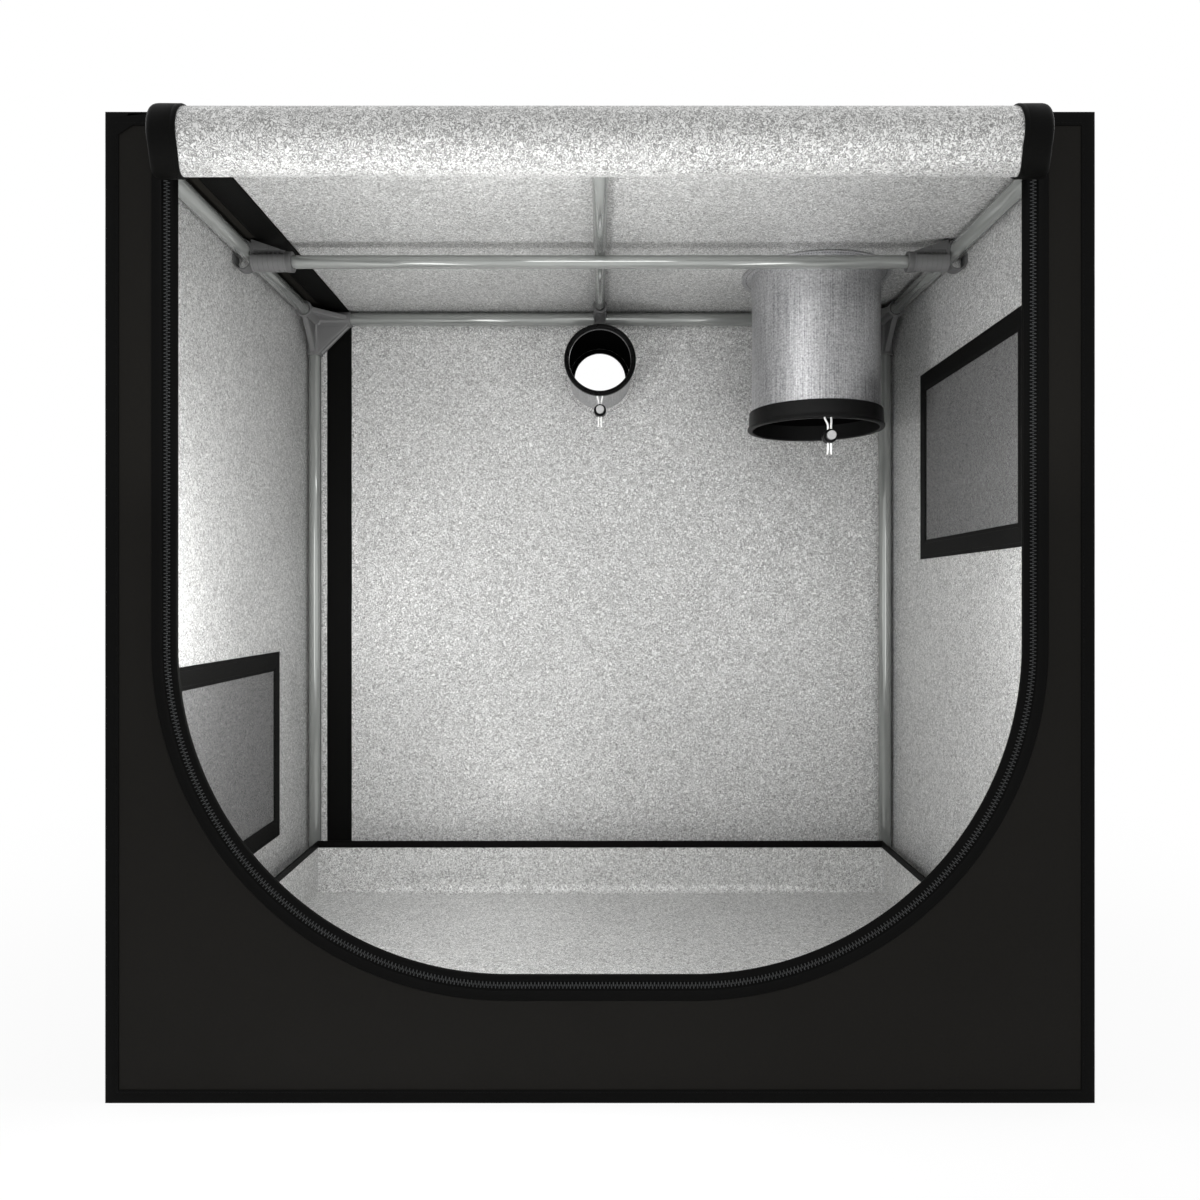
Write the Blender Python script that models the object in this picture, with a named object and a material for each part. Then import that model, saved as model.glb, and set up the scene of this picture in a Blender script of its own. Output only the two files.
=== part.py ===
"""Indoor grow tent: a pole frame in moulded corners, a reflective fabric cover with a rolled door,
two vent windows, two duct collars with drawcords, hanging bars and a floor tray.

X runs to the right, Y runs from the door to the back wall and Z runs up. The origin is the middle
of the underside. All lengths are metres.
"""

import math

import bmesh
import bpy
from mathutils import Matrix, Vector

# Overall size and the cover's cloth.
TENT_WIDTH = 0.900
TENT_DEPTH = 0.600
TENT_HEIGHT = 0.902
FABRIC = 0.0010
SEAM_GAP = 0.0003
HEM_WIDTH = 0.012
HEM_RISE = 0.0008
OVERRUN = 0.002
WELD = 0.00001

# Steel poles and the moulded corners that hold them.
POLE_RADIUS = 0.0095
POLE_WALL = 0.0010
CORNER_WALL = 0.0018
CORNER_LEG = 0.056
CORNER_STOP = 0.016
CORNER_WEB = 0.008
CORNER_LIP = 0.002
CORNER_BLOCK_SHARE = 0.97
CORNER_BEVEL = 0.003

# Hanging bars and the clips that hook over the poles.
BAR_RADIUS = 0.008
BAR_WALL = 0.0010
REAR_BAR_RADIUS = 0.0067
BAR_OVERLAP = 0.030
CROSS_BAR_DROP = 0.0146
CROSS_SLEEVE_RADIUS = 0.0120
CENTRE_BAR_RISE = 0.0019
CENTRE_SLEEVE_RADIUS = 0.0100
SLEEVE_LENGTH = 0.049
HOOK_WALL = 0.0018
HOOK_WIDTH = 0.018
HOOK_LIP_ANGLE = 105
HOOK_LOWER_LIP = 0.008
COLLAR_LENGTH = 0.007
COLLAR_RISE = 0.0004
GUSSET_THICKNESS = 0.003
RIB_THICKNESS = 0.0012
RIB_HEIGHT = 0.0030
RIB_COUNT = 5

# Front opening, zip and rolled door.
OPENING_SIDE = 0.065
OPENING_LOW = 0.1165
OPENING_BELOW_TOP = 0.027
OPENING_RADIUS_SHARE = 1 / 3
ZIP_INNER = 0.002
ZIP_OUTER = 0.023
ZIP_BELOW_TOP = 0.014
ZIP_TAPE = 0.0010
ZIP_TEETH_OFFSET = 0.0088
ZIP_TEETH_WIDTH = 0.0060
ZIP_TEETH_RISE = 0.0016
DOOR_SEAM_BELOW_HEM = 0.0007
DOOR_SEAM_FORWARD = 0.0013
DOOR_ROLL_GAP = 0.0029
DOOR_ROLL_DROP_SHARE = 0.8886
DOOR_CORE = 0.013373
DOOR_PITCH = 0.0040
DOOR_EDGING = 0.0021
DOOR_EDGING_WIDTH = 0.025
DOOR_EDGING_GAP = 0.0004
DOOR_FIRST_STRIP = 0.003
DOOR_EDGING_START = 12
DOOR_TOP_NARROWING = 0.0065
DOOR_NARROW_TURNS = 1.6

# Zip sliders.
SLIDER_WIDTH = 0.011
SLIDER_LENGTH = 0.014
SLIDER_DEPTH = 0.0047
SLIDER_CHAMFER = 0.0015
SLIDER_ROOF = 0.0002
SLIDER_BELOW_TOP = 0.0115
EAR_THICKNESS = 0.0012
EAR_RADIUS = 0.0020
EAR_GAP = 0.0044
PIN_RADIUS = 0.0008
PIN_RISE = 0.0021
PULL_BORE = 0.0011
PULL_BARREL = 0.0018
PULL_THICKNESS = 0.0012
PULL_NECK = 0.0036
PULL_NECK_LENGTH = 0.0045
PULL_WIDTH = 0.0062
PULL_LENGTH = 0.021

# Vent windows in the side walls.
VENT_FROM_FRONT = 0.1314
VENT_LENGTH = 0.329
VENT_HEIGHT = 0.257
VENT_RIGHT_BELOW_TOP = 0.1303
VENT_LEFT_LOW = 0.1290
VENT_BORDER_SIDE = 0.022
VENT_BORDER_END = 0.026
VENT_FRAME = 0.0008
VENT_MESH = 0.0006
VENT_MESH_TUCK = 0.0022
VENT_THREAD = 0.004
VENT_GAPS_ALONG = 8
VENT_GAPS_UP = 6
VENT_FLAP_GAP = 0.0004

# Seam strip along the roof and down the back wall.
STRIP_FROM_SIDE = 0.028
STRIP_WIDTH = 0.038
STRIP_THICKNESS = 0.0007

# Exhaust collar hanging from the roof.
SOCK_FROM_SIDE = 0.155
SOCK_FROM_BACK = 0.168
SOCK_LENGTH = 0.2365
SOCK_RADIUS = 0.087
SOCK_WAIST = 0.0015
SOCK_FLANGE = 0.013
SOCK_HEM_TALL = 0.0275
SOCK_HEM_RADIUS = 0.0900
SOCK_HEM_LIP = 0.0050

# Cable and intake collar in the back wall.
PORT_BELOW_TOP = 0.102
PORT_RADIUS = 0.047
PORT_HOLE = 0.039
PORT_FLANGE = 0.009
PORT_REACH = 0.1107
PORT_FABRIC = 0.0012
PORT_RING_INNER = 0.0440
PORT_RING_OUTER = 0.0510
PORT_RING_DEEP = 0.0080
PORT_RING_GROOVE = 0.0010
PORT_RING_ROUND = 0.0020

# Drawcords and their locks.
CORD_RADIUS = 0.00125
CORD_APART = 0.0039
LOCK_RADIUS = 0.00875
LOCK_LENGTH = 0.0150
LOCK_ROUND = 0.0020
LOCK_BORE = 0.0055
LOCK_BACK_WALL = 0.0012
LOCK_SLOT_WIDE = 0.0082
LOCK_SLOT_DEEP = 0.0034
BUTTON_RADIUS = 0.0057
BUTTON_HEAD = 0.0030
BUTTON_ROUND = 0.0010
BUTTON_TRAVEL = 0.0030
STEM_RADIUS = 0.0052
SOCK_LOCK_OFFSET = (-0.0047, -0.0990, -0.0007)
PORT_LOCK_OFFSET = (0.0, -0.1155, -0.0725)

# Removable floor tray, which rests on the webs of the lower corners.
TRAY_BACK_ROOM = 0.0145
TRAY_RIM_Z = 0.0955
TRAY_HEM_TALL = 0.010
TRAY_HEM_RISE = 0.0013

# Sides of round pieces.
POLE_SIDES = 16
BORE_SIDES = 16
ARC_STEPS = 14
SOCK_SIDES = 36
PORT_SIDES = 28
ROLL_STEPS_PER_TURN = 24
LOCK_SIDES = 16
SMALL_SIDES = 10
SHARP_ANGLE = math.radians(35)
TURN = math.tau

# Places that follow from the sizes above.
CORNER_RADIUS = POLE_RADIUS + SEAM_GAP + CORNER_WALL
POLE_INSET = FABRIC + SEAM_GAP + CORNER_RADIUS
STRIP_ROOM = STRIP_THICKNESS + SEAM_GAP
POLE_X = TENT_WIDTH / 2 - POLE_INSET
POLE_FRONT_Y = -(TENT_DEPTH / 2 - POLE_INSET)
POLE_BACK_Y = TENT_DEPTH / 2 - POLE_INSET - STRIP_ROOM
POLE_LOW_Z = POLE_INSET
POLE_TOP_Z = TENT_HEIGHT - POLE_INSET - STRIP_ROOM
FRONT_Y = -TENT_DEPTH / 2
BACK_Y = TENT_DEPTH / 2
OPENING_HALF = TENT_WIDTH / 2 - OPENING_SIDE
OPENING_TOP = TENT_HEIGHT - OPENING_BELOW_TOP
OPENING_RADIUS = TENT_WIDTH * OPENING_RADIUS_SHARE
WALL_INNER_X = TENT_WIDTH / 2 - FABRIC
ROOF_INNER_Z = TENT_HEIGHT - FABRIC
HOOK_BORE = POLE_RADIUS + SEAM_GAP
CROSS_BAR_Z = POLE_TOP_Z - CROSS_BAR_DROP
CENTRE_BAR_Z = POLE_TOP_Z + CENTRE_BAR_RISE
ZIP_BASE_Y = FRONT_Y - SEAM_GAP
ZIP_TOP = TENT_HEIGHT - ZIP_BELOW_TOP
DOOR_SEAM = Vector((0, FRONT_Y - DOOR_SEAM_FORWARD, TENT_HEIGHT - HEM_WIDTH - DOOR_SEAM_BELOW_HEM))
DOOR_HALF = OPENING_HALF
DOOR_LENGTH = DOOR_SEAM.z - OPENING_LOW
DOOR_ROLL_RADIUS = math.sqrt(DOOR_CORE**2 + DOOR_LENGTH * DOOR_PITCH / math.pi)
DOOR_ROLL_FORWARD = DOOR_ROLL_RADIUS + DOOR_ROLL_GAP
DOOR_ROLL_DROP = DOOR_ROLL_RADIUS * DOOR_ROLL_DROP_SHARE
DOOR_CENTRE = Vector((0, FRONT_Y - DOOR_ROLL_FORWARD, DOOR_SEAM.z - DOOR_ROLL_DROP))
VENT_FRONT_Y = FRONT_Y + VENT_FROM_FRONT
VENT_RIGHT_LOW = TENT_HEIGHT - VENT_RIGHT_BELOW_TOP - VENT_HEIGHT
STRIP_OUTER_X = -(TENT_WIDTH / 2 - STRIP_FROM_SIDE)
SOCK_X = TENT_WIDTH / 2 - SOCK_FROM_SIDE
SOCK_Y = BACK_Y - SOCK_FROM_BACK
SOCK_END_Z = TENT_HEIGHT - SOCK_LENGTH
SOCK_LOCK = tuple(Vector((SOCK_X, SOCK_Y, SOCK_END_Z)) + Vector(SOCK_LOCK_OFFSET))
PORT_Z = TENT_HEIGHT - PORT_BELOW_TOP
PORT_LOCK = tuple(Vector((0, BACK_Y, PORT_Z)) + Vector(PORT_LOCK_OFFSET))
TRAY_HALF_WIDTH = POLE_X - CORNER_RADIUS - SEAM_GAP
TRAY_FRONT_Y = POLE_FRONT_Y + CORNER_RADIUS + SEAM_GAP
TRAY_BACK_Y = POLE_BACK_Y - CORNER_RADIUS - TRAY_BACK_ROOM
TRAY_LOW_Z = POLE_LOW_Z + CORNER_WEB / 2 + SEAM_GAP


def clear_scene():
    """Take away whatever the scene holds at the start."""
    for item in list(bpy.data.objects):
        bpy.data.objects.remove(item)


def make_material(name, colour, roughness, metallic=0):
    """Return a Principled material of one colour."""
    surface = bpy.data.materials.new(name)
    surface.use_nodes = True
    shader = surface.node_tree.nodes["Principled BSDF"]
    shader.inputs["Base Color"].default_value = (*colour, 1)
    shader.inputs["Roughness"].default_value = roughness
    shader.inputs["Metallic"].default_value = metallic
    return surface


def add_object(name, shape, surface, origin=(0, 0, 0)):
    """Turn a bmesh in tent coordinates into an object whose own origin is the given point."""
    bmesh.ops.remove_doubles(shape, verts=shape.verts, dist=WELD)
    bmesh.ops.recalc_face_normals(shape, faces=shape.faces)
    bmesh.ops.translate(shape, verts=shape.verts, vec=-Vector(origin))
    mesh = bpy.data.meshes.new(name)
    shape.to_mesh(mesh)
    shape.free()
    mesh.materials.append(surface)
    item = bpy.data.objects.new(name, mesh)
    item.location = origin
    bpy.context.scene.collection.objects.link(item)
    smooth(mesh)
    return item


def smooth(mesh):
    """Shade the round sides smooth and keep the corners sharp."""
    mesh.shade_smooth()
    mesh.set_sharp_from_angle(angle=SHARP_ANGLE)


def carry(child, parent):
    """Hang one object on another without moving it."""
    child.location = child.location - parent.location
    child.parent = parent


def combine(base, others, operation):
    """Join the other objects to the base, or cut them from it, and keep one mesh."""
    for other in others:
        change = base.modifiers.new(operation.lower(), "BOOLEAN")
        change.operation = operation
        change.solver = "EXACT"
        change.object = other
    bpy.context.view_layer.update()
    graph = bpy.context.evaluated_depsgraph_get()
    mesh = bpy.data.meshes.new_from_object(base.evaluated_get(graph))
    base.modifiers.clear()
    base.data = mesh
    for other in others:
        bpy.data.objects.remove(other)
    smooth(mesh)
    return base


def axis_frame(origin, direction):
    """Return the matrix that lays local Z along a direction at a point."""
    turn = Vector(direction).to_track_quat("Z", "Y").to_matrix().to_4x4()
    return Matrix.Translation(origin) @ turn


def plane_frame(origin, across, up):
    """Return the matrix that lays local X and Y along two directions at a point."""
    across, up = Vector(across), Vector(up)
    frame = Matrix((across, up, across.cross(up))).transposed().to_4x4()
    return Matrix.Translation(origin) @ frame


FACING_FRONT = ((1, 0, 0), (0, 0, 1))
FACING_SIDE = ((0, 1, 0), (0, 0, 1))
FACING_UP = ((1, 0, 0), (0, 1, 0))


def rectangle(left, low, right, high):
    """Return the four corners of a rectangle."""
    return [(left, low), (right, low), (right, high), (left, high)]


def circle(centre, radius, sides):
    """Return the points of a circle."""
    angles = [TURN * step / sides for step in range(sides)]
    return [(centre[0] + radius * math.cos(a), centre[1] + radius * math.sin(a)) for a in angles]


def arc(centre, radius, start, end, steps):
    """Return points along an arc, with its angles in degrees and both ends included."""
    angles = [math.radians(start + (end - start) * step / steps) for step in range(steps + 1)]
    return [(centre[0] + radius * math.cos(a), centre[1] + radius * math.sin(a)) for a in angles]


def flat_solid(loops, thickness, frame):
    """Fill an outline with its holes and raise it to a thickness along the frame's Z."""
    shape = bmesh.new()
    for loop in loops:
        corners = [shape.verts.new((u, v, 0)) for u, v in loop]
        for start, end in zip(corners, corners[1:] + corners[:1]):
            shape.edges.new((start, end))
    filled = bmesh.ops.triangle_fill(shape, edges=shape.edges, use_beauty=True)
    faces = [item for item in filled["geom"] if isinstance(item, bmesh.types.BMFace)]
    raised = bmesh.ops.extrude_face_region(shape, geom=faces)
    top = [item for item in raised["geom"] if isinstance(item, bmesh.types.BMVert)]
    bmesh.ops.translate(shape, verts=top, vec=(0, 0, thickness))
    bmesh.ops.transform(shape, matrix=frame, verts=shape.verts)
    return shape


def turned_solid(profile, steps, frame, closed=True):
    """Spin a profile of radius and height points round the frame's Z."""
    shape = bmesh.new()
    corners = [shape.verts.new((radius, 0, height)) for radius, height in profile]
    pairs = list(zip(corners, corners[1:]))
    if closed:
        pairs.append((corners[-1], corners[0]))
    edges = [shape.edges.new(pair) for pair in pairs]
    bmesh.ops.spin(
        shape,
        geom=corners + edges,
        cent=(0, 0, 0),
        axis=(0, 0, 1),
        angle=TURN,
        steps=steps,
        use_merge=True,
    )
    bmesh.ops.transform(shape, matrix=frame, verts=shape.verts)
    return shape


def rod(name, radius, start, end, sides, surface):
    """Add a solid round rod between two points."""
    start, end = Vector(start), Vector(end)
    length = (end - start).length
    profile = [(0, 0), (radius, 0), (radius, length), (0, length)]
    frame = axis_frame(start, end - start)
    return add_object(name, turned_solid(profile, sides, frame, closed=False), surface)


def tube(name, radius, wall, start, end, sides, surface):
    """Add an open round tube between two points."""
    start, end = Vector(start), Vector(end)
    profile = rectangle(radius - wall, 0, radius, (end - start).length)
    return add_object(name, turned_solid(profile, sides, axis_frame(start, end - start)), surface)


def box_solid(low, high):
    """Return a bmesh box between two corners."""
    low, high = Vector(low), Vector(high)
    shape = bmesh.new()
    bmesh.ops.create_cube(shape, size=1)
    size = Matrix.Diagonal((*(high - low), 1))
    bmesh.ops.transform(shape, matrix=Matrix.Translation((low + high) / 2) @ size, verts=shape.verts)
    return shape


def loft(rings):
    """Join equal rings of points into one capped solid."""
    shape = bmesh.new()
    rows = [[shape.verts.new(point) for point in ring] for ring in rings]
    count = len(rows[0])
    for row, following in zip(rows, rows[1:]):
        for index in range(count):
            after = (index + 1) % count
            shape.faces.new((row[index], row[after], following[after], following[index]))
    shape.faces.new(rows[0])
    shape.faces.new(rows[-1])
    return shape


def grid_solid(near, far, filled):
    """Close the filled cells between a near and a far grid of points into one solid."""
    shape = bmesh.new()
    sides = [[[shape.verts.new(point) for point in row] for row in grid] for grid in (near, far)]
    rows, columns = len(near) - 1, len(near[0]) - 1

    def is_filled(row, column):
        return 0 <= row < rows and 0 <= column < columns and filled(row, column)

    for row in range(rows):
        for column in range(columns):
            if not is_filled(row, column):
                continue
            corners = [(row, column), (row, column + 1), (row + 1, column + 1), (row + 1, column)]
            for grid in sides:
                shape.faces.new([grid[r][c] for r, c in corners])
            beside = [(row - 1, column), (row, column + 1), (row + 1, column), (row, column - 1)]
            for index, place in enumerate(beside):
                if is_filled(*place):
                    continue
                (r0, c0), (r1, c1) = corners[index], corners[(index + 1) % len(corners)]
                shape.faces.new((sides[0][r0][c0], sides[0][r1][c1], sides[1][r1][c1], sides[1][r0][c0]))
    loose = [vert for vert in shape.verts if not vert.link_faces]
    bmesh.ops.delete(shape, geom=loose, context="VERTS")
    return shape


def mirrored_copy(name, source, signs, place):
    """Add a copy of an object whose mesh is mirrored by a sign along each axis, at a place."""
    shape = bmesh.new()
    shape.from_mesh(source.data)
    bmesh.ops.transform(shape, matrix=Matrix.Diagonal((*signs, 1)), verts=shape.verts)
    surface = source.data.materials[0]
    item = add_object(name, shape, surface)
    item.location = place
    return item


def corner_piece(surface):
    """Model the three-way moulded corner with its legs along +X, +Y and +Z."""
    directions = [Vector((1, 0, 0)), Vector((0, 1, 0)), Vector((0, 0, 1))]
    half = CORNER_RADIUS * CORNER_BLOCK_SHARE
    block = box_solid((-half, -half, -half), (half, half, half))
    bmesh.ops.bevel(
        block,
        geom=block.edges[:],
        offset=CORNER_BEVEL,
        segments=1,
        affect="EDGES",
    )
    corner = add_object("corner", block, surface)
    parts = []
    for direction in directions:
        parts.append(rod("leg", CORNER_RADIUS, (0, 0, 0), direction * CORNER_LEG, POLE_SIDES, surface))
    web_length = CORNER_LEG - CORNER_LIP
    triangle = [(0, 0), (web_length, 0), (0, web_length)]
    for index, across in enumerate(directions):
        up = directions[(index + 1) % len(directions)]
        middle = -across.cross(up) * CORNER_WEB / 2
        web = flat_solid([triangle], CORNER_WEB, plane_frame(middle, across, up))
        parts.append(add_object("web", web, surface))
    combine(corner, parts, "UNION")
    bores = []
    for direction in directions:
        start, end = direction * CORNER_STOP, direction * (CORNER_LEG + OVERRUN)
        bores.append(rod("bore", POLE_RADIUS + SEAM_GAP, start, end, BORE_SIDES, surface))
    return combine(corner, bores, "DIFFERENCE")


def add_corners(surface):
    """Set the moulded corner at the eight corners of the frame."""
    pattern = corner_piece(surface)
    for side, sign_x in (("left", -1), ("right", 1)):
        for end, sign_y, y in (("front", -1, POLE_FRONT_Y), ("back", 1, POLE_BACK_Y)):
            for level, sign_z, z in (("low", -1, POLE_LOW_Z), ("top", 1, POLE_TOP_Z)):
                signs = (-sign_x, -sign_y, -sign_z)
                mirrored_copy(f"corner_{end}_{side}_{level}", pattern, signs, (sign_x * POLE_X, y, z))
    bpy.data.objects.remove(pattern)


def add_poles(surface):
    """Set the twelve steel poles between the corners."""
    stop = CORNER_STOP + SEAM_GAP
    for side, x in (("left", -POLE_X), ("right", POLE_X)):
        for end, y in (("front", POLE_FRONT_Y), ("back", POLE_BACK_Y)):
            start, finish = (x, y, POLE_LOW_Z + stop), (x, y, POLE_TOP_Z - stop)
            tube(f"pole_upright_{end}_{side}", POLE_RADIUS, POLE_WALL, start, finish, POLE_SIDES, surface)
        for level, z in (("low", POLE_LOW_Z), ("top", POLE_TOP_Z)):
            start, finish = (x, POLE_FRONT_Y + stop, z), (x, POLE_BACK_Y - stop, z)
            tube(f"pole_side_{side}_{level}", POLE_RADIUS, POLE_WALL, start, finish, POLE_SIDES, surface)
    for end, y in (("front", POLE_FRONT_Y), ("back", POLE_BACK_Y)):
        for level, z in (("low", POLE_LOW_Z), ("top", POLE_TOP_Z)):
            start, finish = (-POLE_X + stop, y, z), (POLE_X - stop, y, z)
            tube(f"pole_cross_{end}_{level}", POLE_RADIUS, POLE_WALL, start, finish, POLE_SIDES, surface)


def hook_outline(slot_low):
    """Return the outline of the hook that wraps a pole, as seen along the pole."""
    outer = HOOK_BORE + HOOK_WALL
    low_centre = (0, slot_low + HOOK_BORE)
    lip = low_centre[1] + HOOK_LOWER_LIP
    outline = arc((0, 0), outer, HOOK_LIP_ANGLE, 0, POLE_SIDES // 2)
    outline += arc(low_centre, outer, 0, -180, POLE_SIDES // 2)
    outline += [(-outer, lip), (-HOOK_BORE, lip)]
    outline += arc(low_centre, HOOK_BORE, -180, 0, POLE_SIDES // 2)
    outline += arc((0, 0), HOOK_BORE, 0, HOOK_LIP_ANGLE, POLE_SIDES // 2)
    return outline


def clip_piece(axis_height, slot_low, sleeve_radius, bar_radius, surface):
    """Model a hanging clip: a hook for a pole along Y and a sleeve along +X for the bar."""
    frame = plane_frame((0, HOOK_WIDTH / 2, 0), *FACING_FRONT)
    clip = add_object("clip", flat_solid([hook_outline(slot_low)], HOOK_WIDTH, frame), surface)
    sleeve_start = HOOK_BORE + HOOK_WALL / 2
    sleeve_end = sleeve_start + SLEEVE_LENGTH
    axis = Vector((0, 0, axis_height))
    along = Vector((1, 0, 0))
    sleeve = rod(
        "sleeve", sleeve_radius, axis + along * sleeve_start, axis + along * sleeve_end, POLE_SIDES, surface
    )
    collar_start = sleeve_end - COLLAR_LENGTH
    collar_end = sleeve_end + COLLAR_RISE
    collar = rod(
        "collar",
        sleeve_radius + COLLAR_RISE,
        axis + along * collar_start,
        axis + along * collar_end,
        POLE_SIDES,
        surface,
    )
    side = 1 if axis_height < 0 else -1
    crown = side * (HOOK_BORE + HOOK_WALL / 2)
    foot = axis_height + side * (sleeve_radius - HOOK_WALL / 2)
    gusset_outline = [
        (sleeve_start, axis_height),
        (collar_start, axis_height),
        (collar_start, foot),
        (sleeve_start, crown),
    ]
    frame = plane_frame((0, GUSSET_THICKNESS / 2, 0), *FACING_FRONT)
    gusset = add_object("gusset", flat_solid([gusset_outline], GUSSET_THICKNESS, frame), surface)
    combine(clip, [sleeve, collar, gusset], "UNION")
    combine(clip, clip_ribs(axis_height, sleeve_radius, side, sleeve_start, collar_start, surface), "UNION")
    bore_start = HOOK_BORE + HOOK_WALL
    bore = rod(
        "bore",
        bar_radius + SEAM_GAP,
        axis + along * bore_start,
        axis + along * (collar_end + OVERRUN),
        BORE_SIDES,
        surface,
    )
    return combine(clip, [bore], "DIFFERENCE")


def clip_ribs(axis_height, sleeve_radius, side, start, end, surface):
    """Return the short ribs that stiffen a clip between its sleeve and its gusset."""
    ribs = []
    spacing = (end - start) / (RIB_COUNT + 1)
    half_wide = sleeve_radius / 2
    for index in range(RIB_COUNT):
        x = start + spacing * (index + 1)
        drop_share = (index + 1) / (RIB_COUNT + 1)
        room = HOOK_BORE + HOOK_WALL / 2 - side * axis_height - sleeve_radius
        height = min(RIB_HEIGHT, room * (1 - drop_share))
        if height < RIB_THICKNESS / 2:
            continue
        near = axis_height + side * sleeve_radius / 2
        far = axis_height + side * (sleeve_radius + height)
        low = (x - RIB_THICKNESS / 2, -half_wide, min(near, far))
        high = (x + RIB_THICKNESS / 2, half_wide, max(near, far))
        ribs.append(add_object("rib", box_solid(low, high), surface))
    return ribs


def turned_copy(name, source, degrees, place):
    """Add a copy of an object turned about Z, at a place."""
    shape = bmesh.new()
    shape.from_mesh(source.data)
    turn = Matrix.Rotation(math.radians(degrees), 4, "Z")
    bmesh.ops.transform(shape, matrix=turn, verts=shape.verts)
    item = add_object(name, shape, source.data.materials[0])
    item.location = place
    return item


def add_cross_bar(steel, plastic):
    """Hang the cross bar and its two clips on the side poles."""
    reach = POLE_X - HOOK_BORE - HOOK_WALL - SEAM_GAP
    bar = tube("cross_bar", BAR_RADIUS, BAR_WALL, (-reach, 0, 0), (reach, 0, 0), POLE_SIDES, steel)
    bar.location = (0, 0, CROSS_BAR_Z)
    slot_low = -(CROSS_BAR_DROP + CROSS_SLEEVE_RADIUS - HOOK_WALL)
    pattern = clip_piece(-CROSS_BAR_DROP, slot_low, CROSS_SLEEVE_RADIUS, BAR_RADIUS, plastic)
    left = mirrored_copy("cross_bar_clip_left", pattern, (1, 1, 1), (-POLE_X, 0, POLE_TOP_Z))
    right = mirrored_copy("cross_bar_clip_right", pattern, (-1, 1, 1), (POLE_X, 0, POLE_TOP_Z))
    bpy.data.objects.remove(pattern)
    carry(left, bar)
    carry(right, bar)


def add_centre_bar(steel, plastic):
    """Hang the two-part centre bar and its clips on the front and back poles."""
    stop = HOOK_BORE + HOOK_WALL + SEAM_GAP
    joint_y = -BAR_RADIUS
    front = tube(
        "centre_bar_front",
        BAR_RADIUS,
        BAR_WALL,
        (0, POLE_FRONT_Y + stop, 0),
        (0, joint_y, 0),
        POLE_SIDES,
        steel,
    )
    front.location = (0, 0, CENTRE_BAR_Z)
    rear = tube(
        "centre_bar_rear",
        REAR_BAR_RADIUS,
        BAR_WALL,
        (0, joint_y - BAR_OVERLAP, 0),
        (0, POLE_BACK_Y - stop, 0),
        POLE_SIDES,
        steel,
    )
    rear.location = (0, 0, CENTRE_BAR_Z)
    carry(rear, front)
    ends = (
        ("front", BAR_RADIUS, 90, POLE_FRONT_Y),
        ("back", REAR_BAR_RADIUS, -90, POLE_BACK_Y),
    )
    for end, bar_radius, degrees, y in ends:
        pattern = clip_piece(CENTRE_BAR_RISE, -HOOK_BORE, CENTRE_SLEEVE_RADIUS, bar_radius, plastic)
        clip = turned_copy(f"centre_bar_clip_{end}", pattern, degrees, (0, y, POLE_TOP_Z))
        bpy.data.objects.remove(pattern)
        carry(clip, front)


def opening_outline(offset, top):
    """Return the U of the door opening, moved outwards by an offset, from left top to right top."""
    half = OPENING_HALF + offset
    radius = OPENING_RADIUS + offset
    centre_x = OPENING_HALF - OPENING_RADIUS
    centre_z = OPENING_LOW + OPENING_RADIUS
    outline = [(-half, top)]
    outline += arc((-centre_x, centre_z), radius, 180, 270, ARC_STEPS)
    outline += arc((centre_x, centre_z), radius, 270, 360, ARC_STEPS)
    outline.append((half, top))
    return outline


def hemmed_panel(name, y_outside, outward, holes, surface):
    """Add a front or back panel with its holes and the raised hem round its edge."""
    half = TENT_WIDTH / 2
    edge = rectangle(-half, 0, half, TENT_HEIGHT)
    inside = rectangle(-half + HEM_WIDTH, HEM_WIDTH, half - HEM_WIDTH, TENT_HEIGHT - HEM_WIDTH)
    margin = HEM_WIDTH - OVERRUN
    middle = rectangle(-half + margin, margin, half - margin, TENT_HEIGHT - margin)
    inner_y = y_outside - outward * FABRIC
    hem_deep = FABRIC + HEM_RISE
    hem_y = max(inner_y, inner_y + outward * hem_deep)
    middle_y = max(inner_y, y_outside)
    hem = flat_solid([edge, inside], hem_deep, plane_frame((0, hem_y, 0), *FACING_FRONT))
    panel = add_object(name, hem, surface)
    cloth = flat_solid([middle, *holes], FABRIC, plane_frame((0, middle_y, 0), *FACING_FRONT))
    return combine(panel, [add_object("cloth", cloth, surface)], "UNION")


def add_cover(black):
    """Sew the six panels of the cover."""
    hemmed_panel("front_panel", FRONT_Y, -1, [opening_outline(0, OPENING_TOP)], black)
    hemmed_panel("back_panel", BACK_Y, 1, [circle((0, PORT_Z), PORT_HOLE, PORT_SIDES)], black)
    reach_y = TENT_DEPTH / 2 - FABRIC - SEAM_GAP
    low, high = FABRIC + SEAM_GAP, TENT_HEIGHT - FABRIC - SEAM_GAP
    outline = rectangle(-reach_y, low, reach_y, high)
    for side, x, vent_low in (
        ("left", -TENT_WIDTH / 2, VENT_LEFT_LOW),
        ("right", WALL_INNER_X, VENT_RIGHT_LOW),
    ):
        window = vent_window(vent_low, SEAM_GAP + VENT_MESH_TUCK)
        wall = flat_solid([outline, window], FABRIC, plane_frame((x, 0, 0), *FACING_SIDE))
        add_object(f"{side}_wall", wall, black)
    half = TENT_WIDTH / 2
    deck = rectangle(-half, -reach_y, half, reach_y)
    duct = circle((SOCK_X, SOCK_Y), SOCK_RADIUS - FABRIC, SOCK_SIDES)
    roof = flat_solid([deck, duct], FABRIC, plane_frame((0, 0, ROOF_INNER_Z), *FACING_UP))
    add_object("roof_panel", roof, black)
    floor = flat_solid([deck], FABRIC, plane_frame((0, 0, 0), *FACING_UP))
    add_object("floor_panel", floor, black)


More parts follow.
